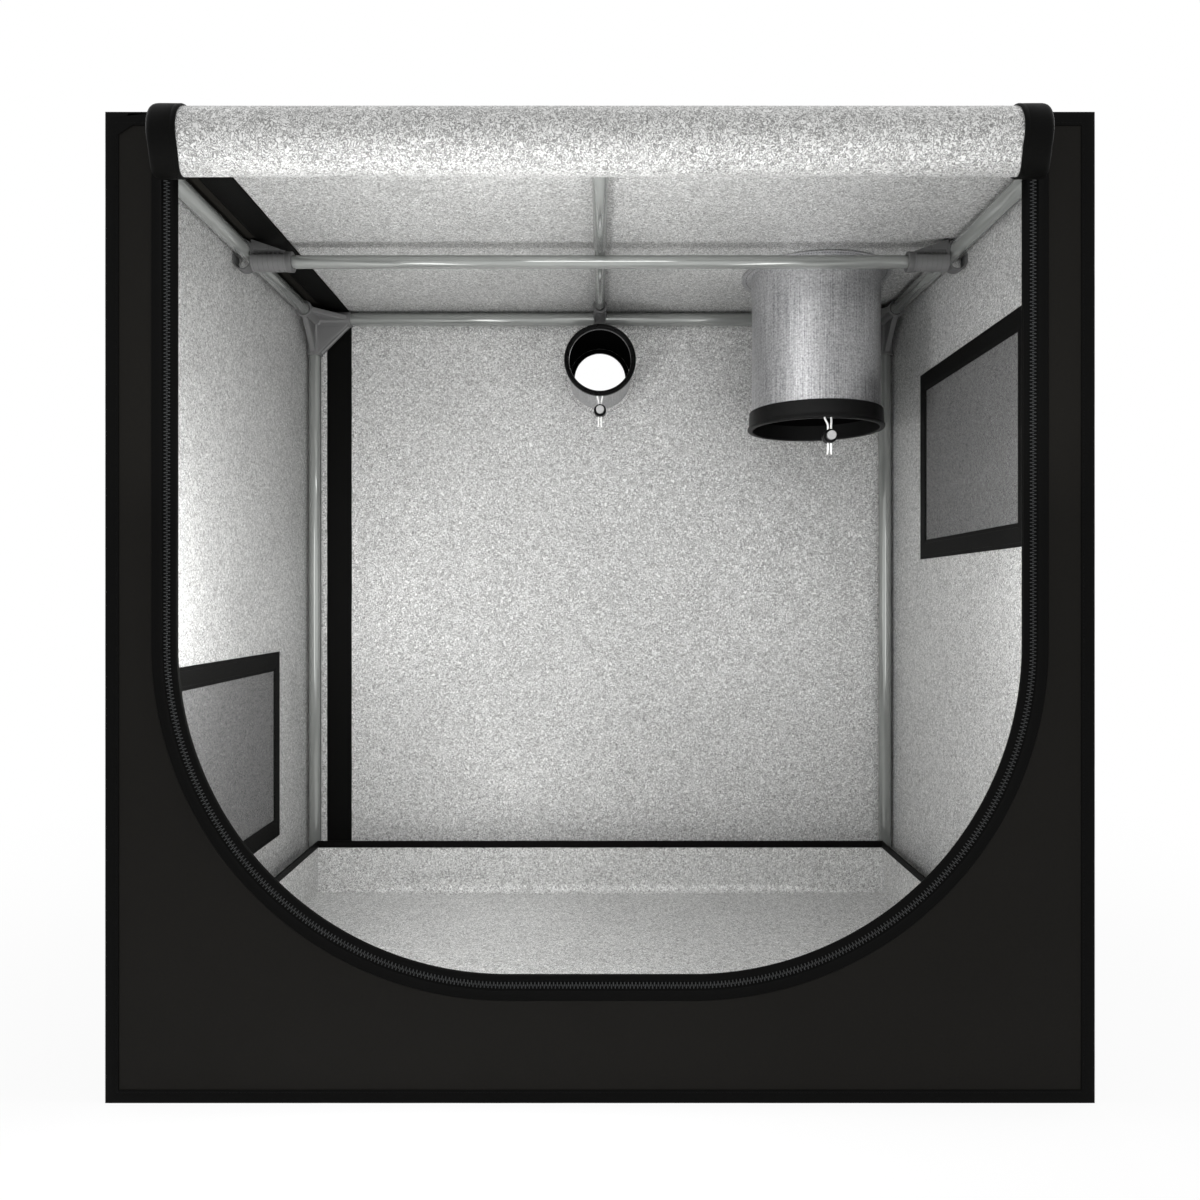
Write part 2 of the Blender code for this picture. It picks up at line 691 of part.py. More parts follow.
def add_seam_strip(surface):
    """Sew the strip that runs along the roof and down the back wall."""
    top = ROOF_INNER_Z - SEAM_GAP
    back = BACK_Y - FABRIC - SEAM_GAP
    low = FABRIC + SEAM_GAP
    front = -back
    thin = STRIP_THICKNESS
    outline = [
        (front, top - thin),
        (back - thin, top - thin),
        (back - thin, low),
        (back, low),
        (back, top),
        (front, top),
    ]
    frame = plane_frame((STRIP_OUTER_X, 0, 0), *FACING_SIDE)
    add_object("seam_strip", flat_solid([outline], STRIP_WIDTH, frame), surface)


def add_zip_track(surface):
    """Sew the zip tape with its row of teeth round the opening."""
    half_teeth = ZIP_TEETH_WIDTH / 2
    crest = ZIP_TAPE + ZIP_TEETH_RISE
    shoulder = ZIP_TAPE + ZIP_TEETH_RISE / 2
    profile = [
        (ZIP_INNER, 0),
        (ZIP_OUTER, 0),
        (ZIP_OUTER, ZIP_TAPE),
        (ZIP_TEETH_OFFSET + half_teeth, ZIP_TAPE),
        (ZIP_TEETH_OFFSET + half_teeth, shoulder),
        (ZIP_TEETH_OFFSET + half_teeth / 2, crest),
        (ZIP_TEETH_OFFSET - half_teeth / 2, crest),
        (ZIP_TEETH_OFFSET - half_teeth, shoulder),
        (ZIP_TEETH_OFFSET - half_teeth, ZIP_TAPE),
        (ZIP_INNER, ZIP_TAPE),
    ]
    lanes = []
    for offset, rise in profile:
        lanes.append([(x, ZIP_BASE_Y - rise, z) for x, z in opening_outline(offset, ZIP_TOP)])
    rings = [list(ring) for ring in zip(*lanes)]
    add_object("zip_track", loft(rings), surface)


def slider_body(surface):
    """Model a zip slider round the teeth, with its origin on the pull's pin."""
    half = SLIDER_WIDTH / 2
    base = ZIP_TAPE + SEAM_GAP
    groove_half = ZIP_TEETH_WIDTH / 2 + SEAM_GAP
    groove_top = ZIP_TAPE + ZIP_TEETH_RISE + SEAM_GAP + SLIDER_ROOF
    face = base + SLIDER_DEPTH
    shoulder = face - SLIDER_CHAMFER
    section = [
        (-half, base),
        (-groove_half, base),
        (-groove_half, groove_top),
        (groove_half, groove_top),
        (groove_half, base),
        (half, base),
        (half, shoulder),
        (half - SLIDER_CHAMFER, face),
        (-half + SLIDER_CHAMFER, face),
        (-half, shoulder),
    ]
    pin_rise = face + PIN_RISE
    low = -SLIDER_LENGTH / 2
    frame = plane_frame((0, pin_rise, low), (1, 0, 0), (0, -1, 0)) @ Matrix.Diagonal((1, 1, -1, 1))
    body = add_object("slider", flat_solid([section], SLIDER_LENGTH, frame), surface)
    ears = []
    for sign in (-1, 1):
        inner, outer = sign * EAR_GAP / 2, sign * (EAR_GAP / 2 + EAR_THICKNESS)
        ears.append(rod("ear", EAR_RADIUS, (inner, 0, 0), (outer, 0, 0), SMALL_SIDES, surface))
        low_corner = (min(inner, outer), 0, -EAR_RADIUS)
        high_corner = (max(inner, outer), PIN_RISE + SLIDER_CHAMFER / 2, EAR_RADIUS)
        ears.append(add_object("ear_foot", box_solid(low_corner, high_corner), surface))
    reach = EAR_GAP / 2 + EAR_THICKNESS / 2
    ears.append(rod("pin", PIN_RADIUS, (-reach, 0, 0), (reach, 0, 0), SMALL_SIDES, surface))
    return combine(body, ears, "UNION"), pin_rise


def pull_piece(surface):
    """Model a zip pull that hangs from the pin, with its origin on the pin's axis."""
    barrel_half = PULL_NECK / 2
    profile = rectangle(PULL_BORE, -barrel_half, PULL_BARREL, barrel_half)
    barrel = add_object("pull", turned_solid(profile, SMALL_SIDES, axis_frame((0, 0, 0), (1, 0, 0))), surface)
    neck, wide = PULL_NECK / 2, PULL_WIDTH / 2
    top = -(PULL_BORE + PULL_BARREL) / 2
    outline = [
        (-neck, top),
        (-neck, -PULL_NECK_LENGTH),
        (-wide, -PULL_NECK_LENGTH - (wide - neck)),
        (-wide, -PULL_LENGTH + neck),
        (-neck, -PULL_LENGTH),
        (neck, -PULL_LENGTH),
        (wide, -PULL_LENGTH + neck),
        (wide, -PULL_NECK_LENGTH - (wide - neck)),
        (neck, -PULL_NECK_LENGTH),
        (neck, top),
    ]
    frame = plane_frame((0, PULL_THICKNESS / 2, 0), *FACING_FRONT)
    tab = add_object("tab", flat_solid([outline], PULL_THICKNESS, frame), surface)
    return combine(barrel, [tab], "UNION")


def add_zip_sliders(surface):
    """Park a slider with its pull at each end of the zip."""
    for side, sign in (("left", -1), ("right", 1)):
        body, pin_rise = slider_body(surface)
        body.name = f"zip_slider_{side}"
        x = sign * (OPENING_HALF + ZIP_TEETH_OFFSET)
        body.location = (x, ZIP_BASE_Y - pin_rise, ZIP_TOP - SLIDER_BELOW_TOP)
        pull = pull_piece(surface)
        pull.name = f"zip_pull_{side}"
        pull.location = body.location
        carry(pull, body)


def door_stations():
    """Return the door's path in the roll, from its seam to its bottom edge.

    Each station is the place of the cloth's middle, the direction out of the roll and the distance
    from the bottom edge, which sets how wide the door is there.
    """
    to_seam = DOOR_SEAM - DOOR_CENTRE
    distance = to_seam.length
    first = math.atan2(to_seam.z, to_seam.y) - math.acos(DOOR_ROLL_RADIUS / distance)
    straight = math.sqrt(distance**2 - DOOR_ROLL_RADIUS**2)
    wound = DOOR_LENGTH - straight - DOOR_FIRST_STRIP
    growth = DOOR_PITCH / TURN
    end = (DOOR_ROLL_RADIUS - math.sqrt(DOOR_ROLL_RADIUS**2 - 2 * growth * wound)) / growth
    steps = math.ceil(end * ROLL_STEPS_PER_TURN / TURN)
    outward = Vector((0, math.cos(first), math.sin(first)))
    stations = [(DOOR_SEAM.copy(), outward, DOOR_LENGTH)]
    for step in range(steps + 1):
        turned = end * step / steps
        radius = DOOR_ROLL_RADIUS - growth * turned
        used = DOOR_ROLL_RADIUS * turned - growth * turned**2 / 2
        outward = Vector((0, math.cos(first - turned), math.sin(first - turned)))
        stations.append((DOOR_CENTRE + outward * radius, outward, DOOR_LENGTH - straight - used))
    return stations


def door_half_width(height, inset):
    """Return half the door's width at a height above its bottom edge, less an even inset.

    The outermost turn is drawn in a little, which rounds the roll's ends.
    """
    radius = OPENING_RADIUS
    narrow_start = DOOR_LENGTH - DOOR_NARROW_TURNS * TURN * DOOR_ROLL_RADIUS
    if height >= narrow_start:
        drawn_share = (height - narrow_start) / (DOOR_LENGTH - narrow_start)
        return DOOR_HALF - inset - DOOR_TOP_NARROWING * drawn_share**2
    if height >= radius:
        return DOOR_HALF - inset
    rest = (radius - inset) ** 2 - (radius - height) ** 2
    return DOOR_HALF - radius + math.sqrt(max(rest, 0))


def strip_at(middle, outward, near, far, places):
    """Return the near and far points of a cloth at one station, at each place across it."""
    return tuple([middle + outward * level + Vector((x, 0, 0)) for x in places] for level in (near, far))


def add_door(silver, black):
    """Roll the door up on itself, cloth and zip edging together, from one formula."""
    stations = door_stations()
    near, far = [], []
    for middle, outward, height in stations:
        half = door_half_width(height, 0)
        row = strip_at(middle, outward, -FABRIC / 2, FABRIC / 2, (-half, half))
        near.append(row[0])
        far.append(row[1])
    cloth = add_object("door_roll", grid_solid(near, far, lambda row, column: True), silver, DOOR_SEAM)
    level = FABRIC / 2 + DOOR_EDGING_GAP
    start = 1 + round(ROLL_STEPS_PER_TURN * DOOR_EDGING_START / 360)
    near, far, heights = [], [], []
    for middle, outward, height in stations[start:]:
        half = door_half_width(height, 0)
        inner = max(door_half_width(height, DOOR_EDGING_WIDTH), DOOR_HALF - OPENING_RADIUS)
        row = strip_at(middle, outward, level, level + DOOR_EDGING, (-half, -inner, inner, half))
        near.append(row[0])
        far.append(row[1])
        heights.append(height)
    edging = grid_solid(
        near, far, lambda row, column: column != 1 or heights[row] < DOOR_EDGING_WIDTH
    )
    carry(add_object("door_edging", edging, black, DOOR_SEAM), cloth)
    cloth_gap = DOOR_PITCH - FABRIC - DOOR_EDGING - DOOR_EDGING_GAP
    print(f"door roll: least gap between its turns {min(cloth_gap, DOOR_EDGING_GAP) * 1000:.2f} mm")
    print(f"door roll: least gap measured on its points {measured_gap(stations, level) * 1000:.2f} mm")


def measured_gap(stations, level):
    """Return the least distance from the edging's outer face to the next turn of cloth."""
    outer = [middle + outward * (level + DOOR_EDGING) for middle, outward, _ in stations[1:]]
    inner = [middle - outward * FABRIC / 2 for middle, outward, _ in stations[1:]]
    turn = ROLL_STEPS_PER_TURN
    return min((outer[i] - inner[j]).length for i in range(turn, len(outer)) for j in range(i - turn + 2))


def vent_window(low, grow):
    """Return the vent's window as seen from the side, grown by a margin."""
    front = VENT_FRONT_Y + VENT_BORDER_SIDE - grow
    back = VENT_FRONT_Y + VENT_LENGTH - VENT_BORDER_SIDE + grow
    return rectangle(front, low + VENT_BORDER_END - grow, back, low + VENT_HEIGHT - VENT_BORDER_END + grow)


def net_grid(low, x):
    """Return the net's grid points at one side of its threads."""
    corners = vent_window(low, VENT_MESH_TUCK)
    (front, bottom), (back, top) = corners[0], corners[2]
    gap_y = (back - front - VENT_THREAD * (VENT_GAPS_ALONG + 1)) / VENT_GAPS_ALONG
    gap_z = (top - bottom - VENT_THREAD * (VENT_GAPS_UP + 1)) / VENT_GAPS_UP
    places_y = [front]
    for index in range(2 * VENT_GAPS_ALONG + 1):
        places_y.append(places_y[-1] + (gap_y if index % 2 else VENT_THREAD))
    places_z = [bottom]
    for index in range(2 * VENT_GAPS_UP + 1):
        places_z.append(places_z[-1] + (gap_z if index % 2 else VENT_THREAD))
    return [[(x, y, z) for y in places_y] for z in places_z]


def add_vent(side, sign, low, black, net):
    """Add one vent: its sewn frame, its net and the flap that hangs over it outside."""
    inner_x = WALL_INNER_X - SEAM_GAP - VENT_FRAME
    x = inner_x if sign > 0 else -inner_x - VENT_FRAME
    edge = rectangle(VENT_FRONT_Y, low, VENT_FRONT_Y + VENT_LENGTH, low + VENT_HEIGHT)
    border = flat_solid([edge, vent_window(low, 0)], VENT_FRAME, plane_frame((x, 0, 0), *FACING_SIDE))
    add_object(f"vent_frame_{side}", border, black)
    near_x = sign * WALL_INNER_X
    far_x = sign * (WALL_INNER_X + VENT_MESH)
    threads = grid_solid(net_grid(low, near_x), net_grid(low, far_x), is_thread)
    add_object(f"vent_net_{side}", threads, net)
    hinge_x = sign * (TENT_WIDTH / 2 + VENT_FLAP_GAP + FABRIC / 2)
    hinge = (hinge_x, VENT_FRONT_Y + VENT_LENGTH / 2, low + VENT_HEIGHT)
    flap = flat_solid([edge], FABRIC, plane_frame((hinge_x - FABRIC / 2, 0, 0), *FACING_SIDE))
    add_object(f"vent_flap_{side}", flap, black, hinge)


def is_thread(row, column):
    """Say whether a cell of the net's grid is thread and not a gap."""
    return row % 2 == 0 or column % 2 == 0


def add_sock(silver, black):
    """Hang the exhaust collar from the roof, with the hem that holds its drawcord."""
    top = ROOF_INNER_Z - SEAM_GAP
    inner = SOCK_RADIUS - FABRIC
    middle = (top + SOCK_END_Z) / 2
    profile = [
        (inner, top),
        (SOCK_RADIUS + SOCK_FLANGE, top),
        (SOCK_RADIUS + SOCK_FLANGE, top - FABRIC),
        (SOCK_RADIUS, top - FABRIC),
        (SOCK_RADIUS - SOCK_WAIST, middle),
        (SOCK_RADIUS, SOCK_END_Z),
        (inner, SOCK_END_Z),
        (inner - SOCK_WAIST, middle),
    ]
    frame = axis_frame((SOCK_X, SOCK_Y, 0), (0, 0, 1))
    add_object("duct_sock", turned_solid(profile, SOCK_SIDES, frame), silver)
    low = SOCK_END_Z - SEAM_GAP - FABRIC
    hem_inner = SOCK_RADIUS + SEAM_GAP
    profile = [
        (hem_inner, low + SOCK_HEM_TALL),
        (SOCK_HEM_RADIUS, low + SOCK_HEM_TALL),
        (SOCK_HEM_RADIUS, low),
        (SOCK_HEM_RADIUS - SOCK_HEM_LIP, low),
        (SOCK_HEM_RADIUS - SOCK_HEM_LIP, low + FABRIC),
        (hem_inner, low + FABRIC),
    ]
    add_object("duct_sock_hem", turned_solid(profile, SOCK_SIDES, frame), black)


def add_port(silver, black):
    """Sew the intake collar to the back wall, with the ring round its mouth."""
    wall = BACK_Y - FABRIC - SEAM_GAP
    inner = PORT_RADIUS - PORT_FABRIC
    profile = [
        (PORT_HOLE, 0),
        (PORT_RADIUS + PORT_FLANGE, 0),
        (PORT_RADIUS + PORT_FLANGE, FABRIC),
        (PORT_RADIUS, FABRIC),
        (PORT_RADIUS, PORT_REACH),
        (inner, PORT_REACH),
        (inner, FABRIC),
        (PORT_HOLE, FABRIC),
    ]
    frame = axis_frame((0, wall, PORT_Z), (0, -1, 0))
    add_object("port_sleeve", turned_solid(profile, PORT_SIDES, frame), silver)
    back = PORT_REACH + SEAM_GAP
    front = back + PORT_RING_DEEP
    middle = (PORT_RING_INNER + PORT_RING_OUTER) / 2
    profile = [
        (PORT_RING_INNER, back),
        (PORT_RING_OUTER, back),
        (PORT_RING_OUTER, front - PORT_RING_ROUND),
        (PORT_RING_OUTER - PORT_RING_ROUND, front),
        (middle, front - PORT_RING_GROOVE),
        (PORT_RING_INNER + PORT_RING_ROUND, front),
        (PORT_RING_INNER, front - PORT_RING_ROUND),
    ]
    add_object("port_ring", turned_solid(profile, PORT_SIDES, frame), black)


def lock_piece(name, place, surface):
    """Add a cord lock: a barrel bored for its button and slotted for two cords."""
    half = LOCK_LENGTH / 2
    round_start = LOCK_RADIUS - LOCK_ROUND
    profile = [
        (0, -half),
        (round_start, -half),
        (LOCK_RADIUS, -half + LOCK_ROUND),
        (LOCK_RADIUS, half - LOCK_ROUND),
        (round_start, half),
        (0, half),
    ]
    frame = axis_frame((0, 0, 0), (0, 1, 0))
    lock = add_object(name, turned_solid(profile, LOCK_SIDES, frame, closed=False), surface)
    bore_end = half - LOCK_BACK_WALL
    bore = rod("bore", LOCK_BORE, (0, -half - OVERRUN, 0), (0, bore_end, 0), LOCK_SIDES, surface)
    slot = slot_cutter(LOCK_SLOT_WIDE, -LOCK_SLOT_DEEP / 2, LOCK_SLOT_DEEP / 2, surface)
    combine(lock, [bore, slot], "DIFFERENCE")
    lock.location = place
    return lock


def slot_cutter(wide, front, back, surface):
    """Return a cutter as wide as a slot, running right through a lock from top to bottom."""
    reach = LOCK_RADIUS + OVERRUN
    return add_object("slot", box_solid((-wide / 2, front, -reach), (wide / 2, back, reach)), surface)


def button_piece(name, place, surface):
    """Add the sprung button of a cord lock, with the window that the cords pass."""
    head_back = -LOCK_LENGTH / 2 - BUTTON_TRAVEL - SEAM_GAP
    head_front = head_back - BUTTON_HEAD
    stem_end = LOCK_LENGTH / 2 - LOCK_BACK_WALL - BUTTON_TRAVEL - SEAM_GAP
    profile = [
        (0, head_front),
        (BUTTON_RADIUS - BUTTON_ROUND, head_front),
        (BUTTON_RADIUS, head_front + BUTTON_ROUND),
        (BUTTON_RADIUS, head_back),
        (STEM_RADIUS, head_back),
        (STEM_RADIUS, stem_end),
        (0, stem_end),
    ]
    frame = axis_frame((0, 0, 0), (0, 1, 0))
    button = add_object(name, turned_solid(profile, LOCK_SIDES, frame, closed=False), surface)
    play = CORD_RADIUS + SEAM_GAP
    window = slot_cutter(LOCK_SLOT_WIDE, -BUTTON_TRAVEL - play, play, surface)
    combine(button, [window], "DIFFERENCE")
    button.location = place
    return button


def smooth_route(points, spacing):
    """Return points a spacing apart on the smooth curve through a cord's route."""
    route = [Vector(point) for point in points]
    padded = [2 * route[0] - route[1], *route, 2 * route[-1] - route[-2]]
    fine = []
    for before, start, end, after in zip(padded, padded[1:], padded[2:], padded[3:]):
        count = max(1, round((end - start).length / spacing))
        for step in range(count):
            t = step / count
            curve = (
                2 * start
                + (end - before) * t
                + (2 * before - 5 * start + 4 * end - after) * t**2
                + (3 * start - before - 3 * end + after) * t**3
            )
            fine.append(curve / 2)
    fine.append(route[-1])
    return fine


def add_cord(name, points, surface):
    """Lay a drawcord's free end as a round tube along its route."""
    fine = smooth_route(points, 2 * CORD_RADIUS * 2)
    path = bpy.data.curves.new(name, "CURVE")
    path.dimensions = "3D"
    path.bevel_depth = CORD_RADIUS
    path.bevel_resolution = 2
    path.resolution_u = 1
    path.use_fill_caps = True
    spline = path.splines.new("POLY")
    spline.points.add(len(fine) - 1)
    for point, place in zip(spline.points, fine):
        point.co = (*place, 1)
    path.materials.append(surface)
    item = bpy.data.objects.new(name, path)
    bpy.context.scene.collection.objects.link(item)
    return item


# Routes of the drawcords' free ends: how far out from the middle, how far forward and how far down
# each point lies. The sideways values are measured from the middle of the lock.
SOCK_CORD_ROUTE = (
    (0.0043, 0.0085, 0.0227),
    (0.0040, 0.0055, 0.0220),
    (0.0030, 0.0022, 0.0190),
    (0.0022, 0.0005, 0.0150),
    (0.00195, 0.0, 0.0110),
    (0.00195, 0.0, 0.0),
    (0.00195, 0.0, -0.0125),
    (0.0021, 0.0, -0.0175),
    (0.0026, 0.0, -0.0228),
)
PORT_CORD_ROUTE = (
    (0.0036, 0.0, 0.0210),
    (0.0032, 0.0, 0.0185),
    (0.0023, 0.0, 0.0150),
    (0.00195, 0.0, 0.0110),
    (0.00195, 0.0, 0.0),
    (0.00195, 0.0, -0.0150),
    (0.0021, 0.0, -0.0190),
    (0.0024, 0.0, -0.0228),
)


def add_drawcords(black, grey, white):
    """Add both cord locks with their buttons, and the two cord ends through each."""
    for collar, place, route in (
        ("sock", Vector(SOCK_LOCK), SOCK_CORD_ROUTE),
        ("port", Vector(PORT_LOCK), PORT_CORD_ROUTE),
    ):
        lock = lock_piece(f"{collar}_cord_lock", place, black)
        button = button_piece(f"{collar}_lock_button", place, grey)
        carry(button, lock)
        for side, sign in (("left", -1), ("right", 1)):
            points = [place + Vector((sign * out, back, up)) for out, back, up in route]
            add_cord(f"{collar}_cord_{side}", points, white)


def add_floor_tray(silver):
    """Set the removable floor tray inside the poles."""
    low = TRAY_LOW_Z
    tall = TRAY_RIM_Z - low
    outer = rectangle(-TRAY_HALF_WIDTH, TRAY_FRONT_Y, TRAY_HALF_WIDTH, TRAY_BACK_Y)
    inner = shrunk(outer, FABRIC)
    rim = shrunk(outer, -TRAY_HEM_RISE)
    base = flat_solid([outer], FABRIC, plane_frame((0, 0, 0), *FACING_UP))
    tray = add_object("floor_tray", base, silver)
    walls = flat_solid([outer, inner], tall - OVERRUN, plane_frame((0, 0, 0), *FACING_UP))
    hem_low = tall - TRAY_HEM_TALL
    hem = flat_solid([rim, inner], TRAY_HEM_TALL, plane_frame((0, 0, hem_low), *FACING_UP))
    combine(tray, [add_object("walls", walls, silver), add_object("hem", hem, silver)], "UNION")
    tray.location = (0, 0, low)


def shrunk(outline, margin):
    """Return a rectangle moved in by a margin on every side."""
    (left, low), (right, high) = outline[0], outline[2]
    return rectangle(left + margin, low + margin, right - margin, high - margin)


def build():
    """Put the tent together, from its frame outwards."""
    clear_scene()
    steel = make_material("pole_steel", (0.32, 0.33, 0.31), 0.35, 0.6)
    plastic = make_material("connector_plastic", (0.11, 0.11, 0.105), 0.5)
    black = make_material("cover_black", (0.014, 0.013, 0.012), 0.7)
    silver = make_material("lining_silver", (0.60, 0.60, 0.59), 0.4, 0.5)
    net = make_material("vent_net", (0.08, 0.08, 0.08), 0.7)
    trim = make_material("trim_black", (0.006, 0.006, 0.006), 0.5)
    zinc = make_material("zip_metal", (0.03, 0.03, 0.03), 0.4, 0.8)
    lock = make_material("lock_plastic", (0.012, 0.012, 0.012), 0.4)
    button = make_material("button_grey", (0.36, 0.36, 0.36), 0.5)
    cord = make_material("cord_white", (0.85, 0.85, 0.85), 0.7)
    add_poles(steel)
    add_corners(plastic)
    add_cross_bar(steel, plastic)
    add_centre_bar(steel, plastic)
    add_cover(black)
    add_seam_strip(trim)
    add_zip_track(trim)
    add_zip_sliders(zinc)
    add_door(silver, trim)
    add_vent("left", -1, VENT_LEFT_LOW, trim, net)
    add_vent("right", 1, VENT_RIGHT_LOW, trim, net)
    add_sock(silver, trim)
    add_port(silver, trim)
    add_drawcords(lock, button, cord)
    add_floor_tray(silver)


build()
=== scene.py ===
"""Indoor grow tent: the looks of every piece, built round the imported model.

X runs to the right, Y from the door to the back wall and Z up, in metres. The sections follow the
tent as it is put together: frame, bars, cover, zip, door, vents, collars, drawcords and tray.
"""

import math

import bmesh
import bpy
from mathutils import Matrix, Vector, noise


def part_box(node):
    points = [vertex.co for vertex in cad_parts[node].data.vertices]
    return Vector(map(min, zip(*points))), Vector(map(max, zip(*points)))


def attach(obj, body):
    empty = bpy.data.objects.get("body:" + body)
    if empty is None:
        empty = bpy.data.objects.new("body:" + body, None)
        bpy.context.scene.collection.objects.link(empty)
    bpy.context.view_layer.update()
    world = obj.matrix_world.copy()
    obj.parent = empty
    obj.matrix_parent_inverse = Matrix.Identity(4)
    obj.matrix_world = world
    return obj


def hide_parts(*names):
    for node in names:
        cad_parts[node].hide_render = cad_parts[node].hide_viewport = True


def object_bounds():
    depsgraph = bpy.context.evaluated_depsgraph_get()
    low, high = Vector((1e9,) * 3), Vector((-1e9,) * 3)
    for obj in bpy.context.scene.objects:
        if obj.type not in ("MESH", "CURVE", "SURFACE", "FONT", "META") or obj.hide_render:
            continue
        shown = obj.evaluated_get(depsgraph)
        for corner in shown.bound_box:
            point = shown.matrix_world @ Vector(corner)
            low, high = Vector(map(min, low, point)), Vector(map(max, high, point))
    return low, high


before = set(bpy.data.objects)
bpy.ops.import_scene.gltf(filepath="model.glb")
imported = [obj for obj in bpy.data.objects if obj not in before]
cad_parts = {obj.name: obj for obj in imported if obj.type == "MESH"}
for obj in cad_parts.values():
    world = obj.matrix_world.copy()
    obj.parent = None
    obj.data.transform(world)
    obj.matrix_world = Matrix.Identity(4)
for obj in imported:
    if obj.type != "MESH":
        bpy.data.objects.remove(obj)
bpy.ops.object.select_all(action="DESELECT")
cad_low, cad_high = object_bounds()

# Camera. It stands level in front of the door, below the middle of the tent, and looks straight at
# the back wall. Its distance follows from how much smaller the back wall is drawn than the front.
CAMERA_PLACE = (0, -1.157, 0.458)
CAMERA_LENS = 28.23

bpy.ops.object.camera_add(location=CAMERA_PLACE, rotation=(math.pi / 2, 0, 0))
camera = bpy.context.object
camera.data.lens = CAMERA_LENS
camera.data.dof.use_dof = False
bpy.context.scene.camera = camera
bpy.context.scene.view_settings.view_transform = "Standard"


# Studio. A white floor under a white surround, with three broad lamps round the sides. Small round
# lamps light the inside, and three thin strips draw the lines of light on its poles and bars.
FLOOR_SIZE = 14
TENT_MIDDLE = (0, 0, 0.45)
SIDE_LAMPS = (
    ("left_lamp", (-3.0, 0.4, 2.2)),
    ("right_lamp", (3.0, 0.8, 2.2)),
    ("back_lamp", (0.6, 3.4, 2.0)),
)
SIDE_LAMP_SIZE = 1.6
SIDE_LAMP_POWER = 30
INSIDE_LAMPS = (
    ("mouth_lamp_left", (-0.26, -0.28, 0.44), 8.4),
    ("mouth_lamp_right", (0.28, -0.28, 0.46), 1.3),
    ("mouth_lamp_low", (-0.05, -0.25, 0.22), 1.8),
    ("mouth_lamp_high", (0, -0.25, 0.72), 0.2),
    ("wall_lamp_low", (-0.14, 0.15, 0.19), 0.40),
    ("wall_lamp_left", (-0.33, 0.18, 0.45), 0.16),
    ("sleeve_lamp", (0.19, -0.11, 0.72), 0.20),
)
STRIP_LAMPS = (
    ("strip_lamp_high", (0, -0.265, 0.845), 0.26, 0.04, 0.20),
    ("strip_lamp_left", (-0.36, -0.27, 0.45), 0.08, 0.45, 0.40),
    ("strip_lamp_right", (0.36, -0.27, 0.45), 0.08, 0.45, 0.40),
)


def add_node(tree, kind, inputs, output=0, **settings):
    """Add a node with its settings, set or link its inputs and return one of its outputs."""
    made = tree.nodes.new(kind)
    for name, value in settings.items():
        setattr(made, name, value)
    for name, value in inputs.items():
        if isinstance(value, bpy.types.NodeSocket):
            tree.links.new(value, made.inputs[name])
        else:
            made.inputs[name].default_value = value
    return made.outputs[output]


def add_math(tree, operation, *values):
    """Add a maths node for some values and return its result."""
    return add_node(tree, "ShaderNodeMath", dict(enumerate(values)), operation=operation)


def add_ramp(tree, value, low, high, out_low, out_high):
    """Map a value from one range to another and return the result."""
    limits = {"From Min": low, "From Max": high, "To Min": out_low, "To Max": out_high}
    return add_node(tree, "ShaderNodeMapRange", {"Value": value, **limits})


def new_material(name, roughness, metallic=0):
    """Start a material and return it with its tree, its shader's inputs and object coordinates."""
    surface = bpy.data.materials.new(name)
    surface.use_nodes = True
    tree = surface.node_tree
    inputs = tree.nodes["Principled BSDF"].inputs
    inputs["Roughness"].default_value = roughness
    inputs["Metallic"].default_value = metallic
    return surface, tree, inputs, add_node(tree, "ShaderNodeTexCoord", {}, "Object")


def white_for_camera(tree, shader, output, share=1):
    """Mix a white glow into a shader, by a share, where the camera, a gloss or a glass looks at it."""
    path = tree.nodes.new("ShaderNodeLightPath").outputs
    seen = add_math(tree, "MAXIMUM", path["Is Camera Ray"], path["Is Transmission Ray"])
    seen = add_math(tree, "MAXIMUM", seen, path["Is Glossy Ray"])
    glow = add_node(tree, "ShaderNodeEmission", {"Strength": 1})
    inputs = {"Fac": add_math(tree, "MULTIPLY", seen, share), 1: shader, 2: glow}
    tree.links.new(add_node(tree, "ShaderNodeMixShader", inputs), output.inputs["Surface"])


def add_floor():
    """Lay the white floor, which keeps a faint shadow of the tent and is plain white further out."""
    bpy.ops.mesh.primitive_plane_add(size=FLOOR_SIZE, location=(0, 0, 0))
    floor = bpy.context.object
    floor.name = "studio_floor"
    surface, tree, inputs, place = new_material("studio_floor", 0.9)
    inputs["Base Color"].default_value = (0.9, 0.9, 0.9, 1)
    inputs["Specular IOR Level"].default_value = 0
    distance = add_node(tree, "ShaderNodeVectorMath", {0: place}, "Value", operation="LENGTH")
    share = add_ramp(tree, distance, 0.7, 1.5, 0.92, 1)
    shader = tree.nodes["Principled BSDF"].outputs[0]
    white_for_camera(tree, shader, tree.nodes["Material Output"], share)
    floor.data.materials.append(surface)


def add_world():
    """Surround the studio with white where the camera looks and a soft grey light elsewhere."""
    world = bpy.data.worlds.new("studio")
    bpy.context.scene.world = world
    world.use_nodes = True
    tree = world.node_tree
    light = tree.nodes["Background"]
    light.inputs["Color"].default_value = (1, 1, 1, 1)
    light.inputs["Strength"].default_value = 0.58
    white_for_camera(tree, light.outputs[0], tree.nodes["World Output"])


def add_area_lamp(name, place, target, wide, tall, power):
    """Hang a flat soft lamp that faces a point and isn't seen itself."""
    bpy.ops.object.light_add(type="AREA", location=place)
    lamp = bpy.context.object
    lamp.name = name
    lamp.rotation_euler = (Vector(target) - Vector(place)).to_track_quat("-Z", "Y").to_euler()
    lamp.data.shape = "RECTANGLE"
    lamp.data.size = wide
    lamp.data.size_y = tall
    lamp.data.energy = power
    lamp.visible_camera = False
    return lamp


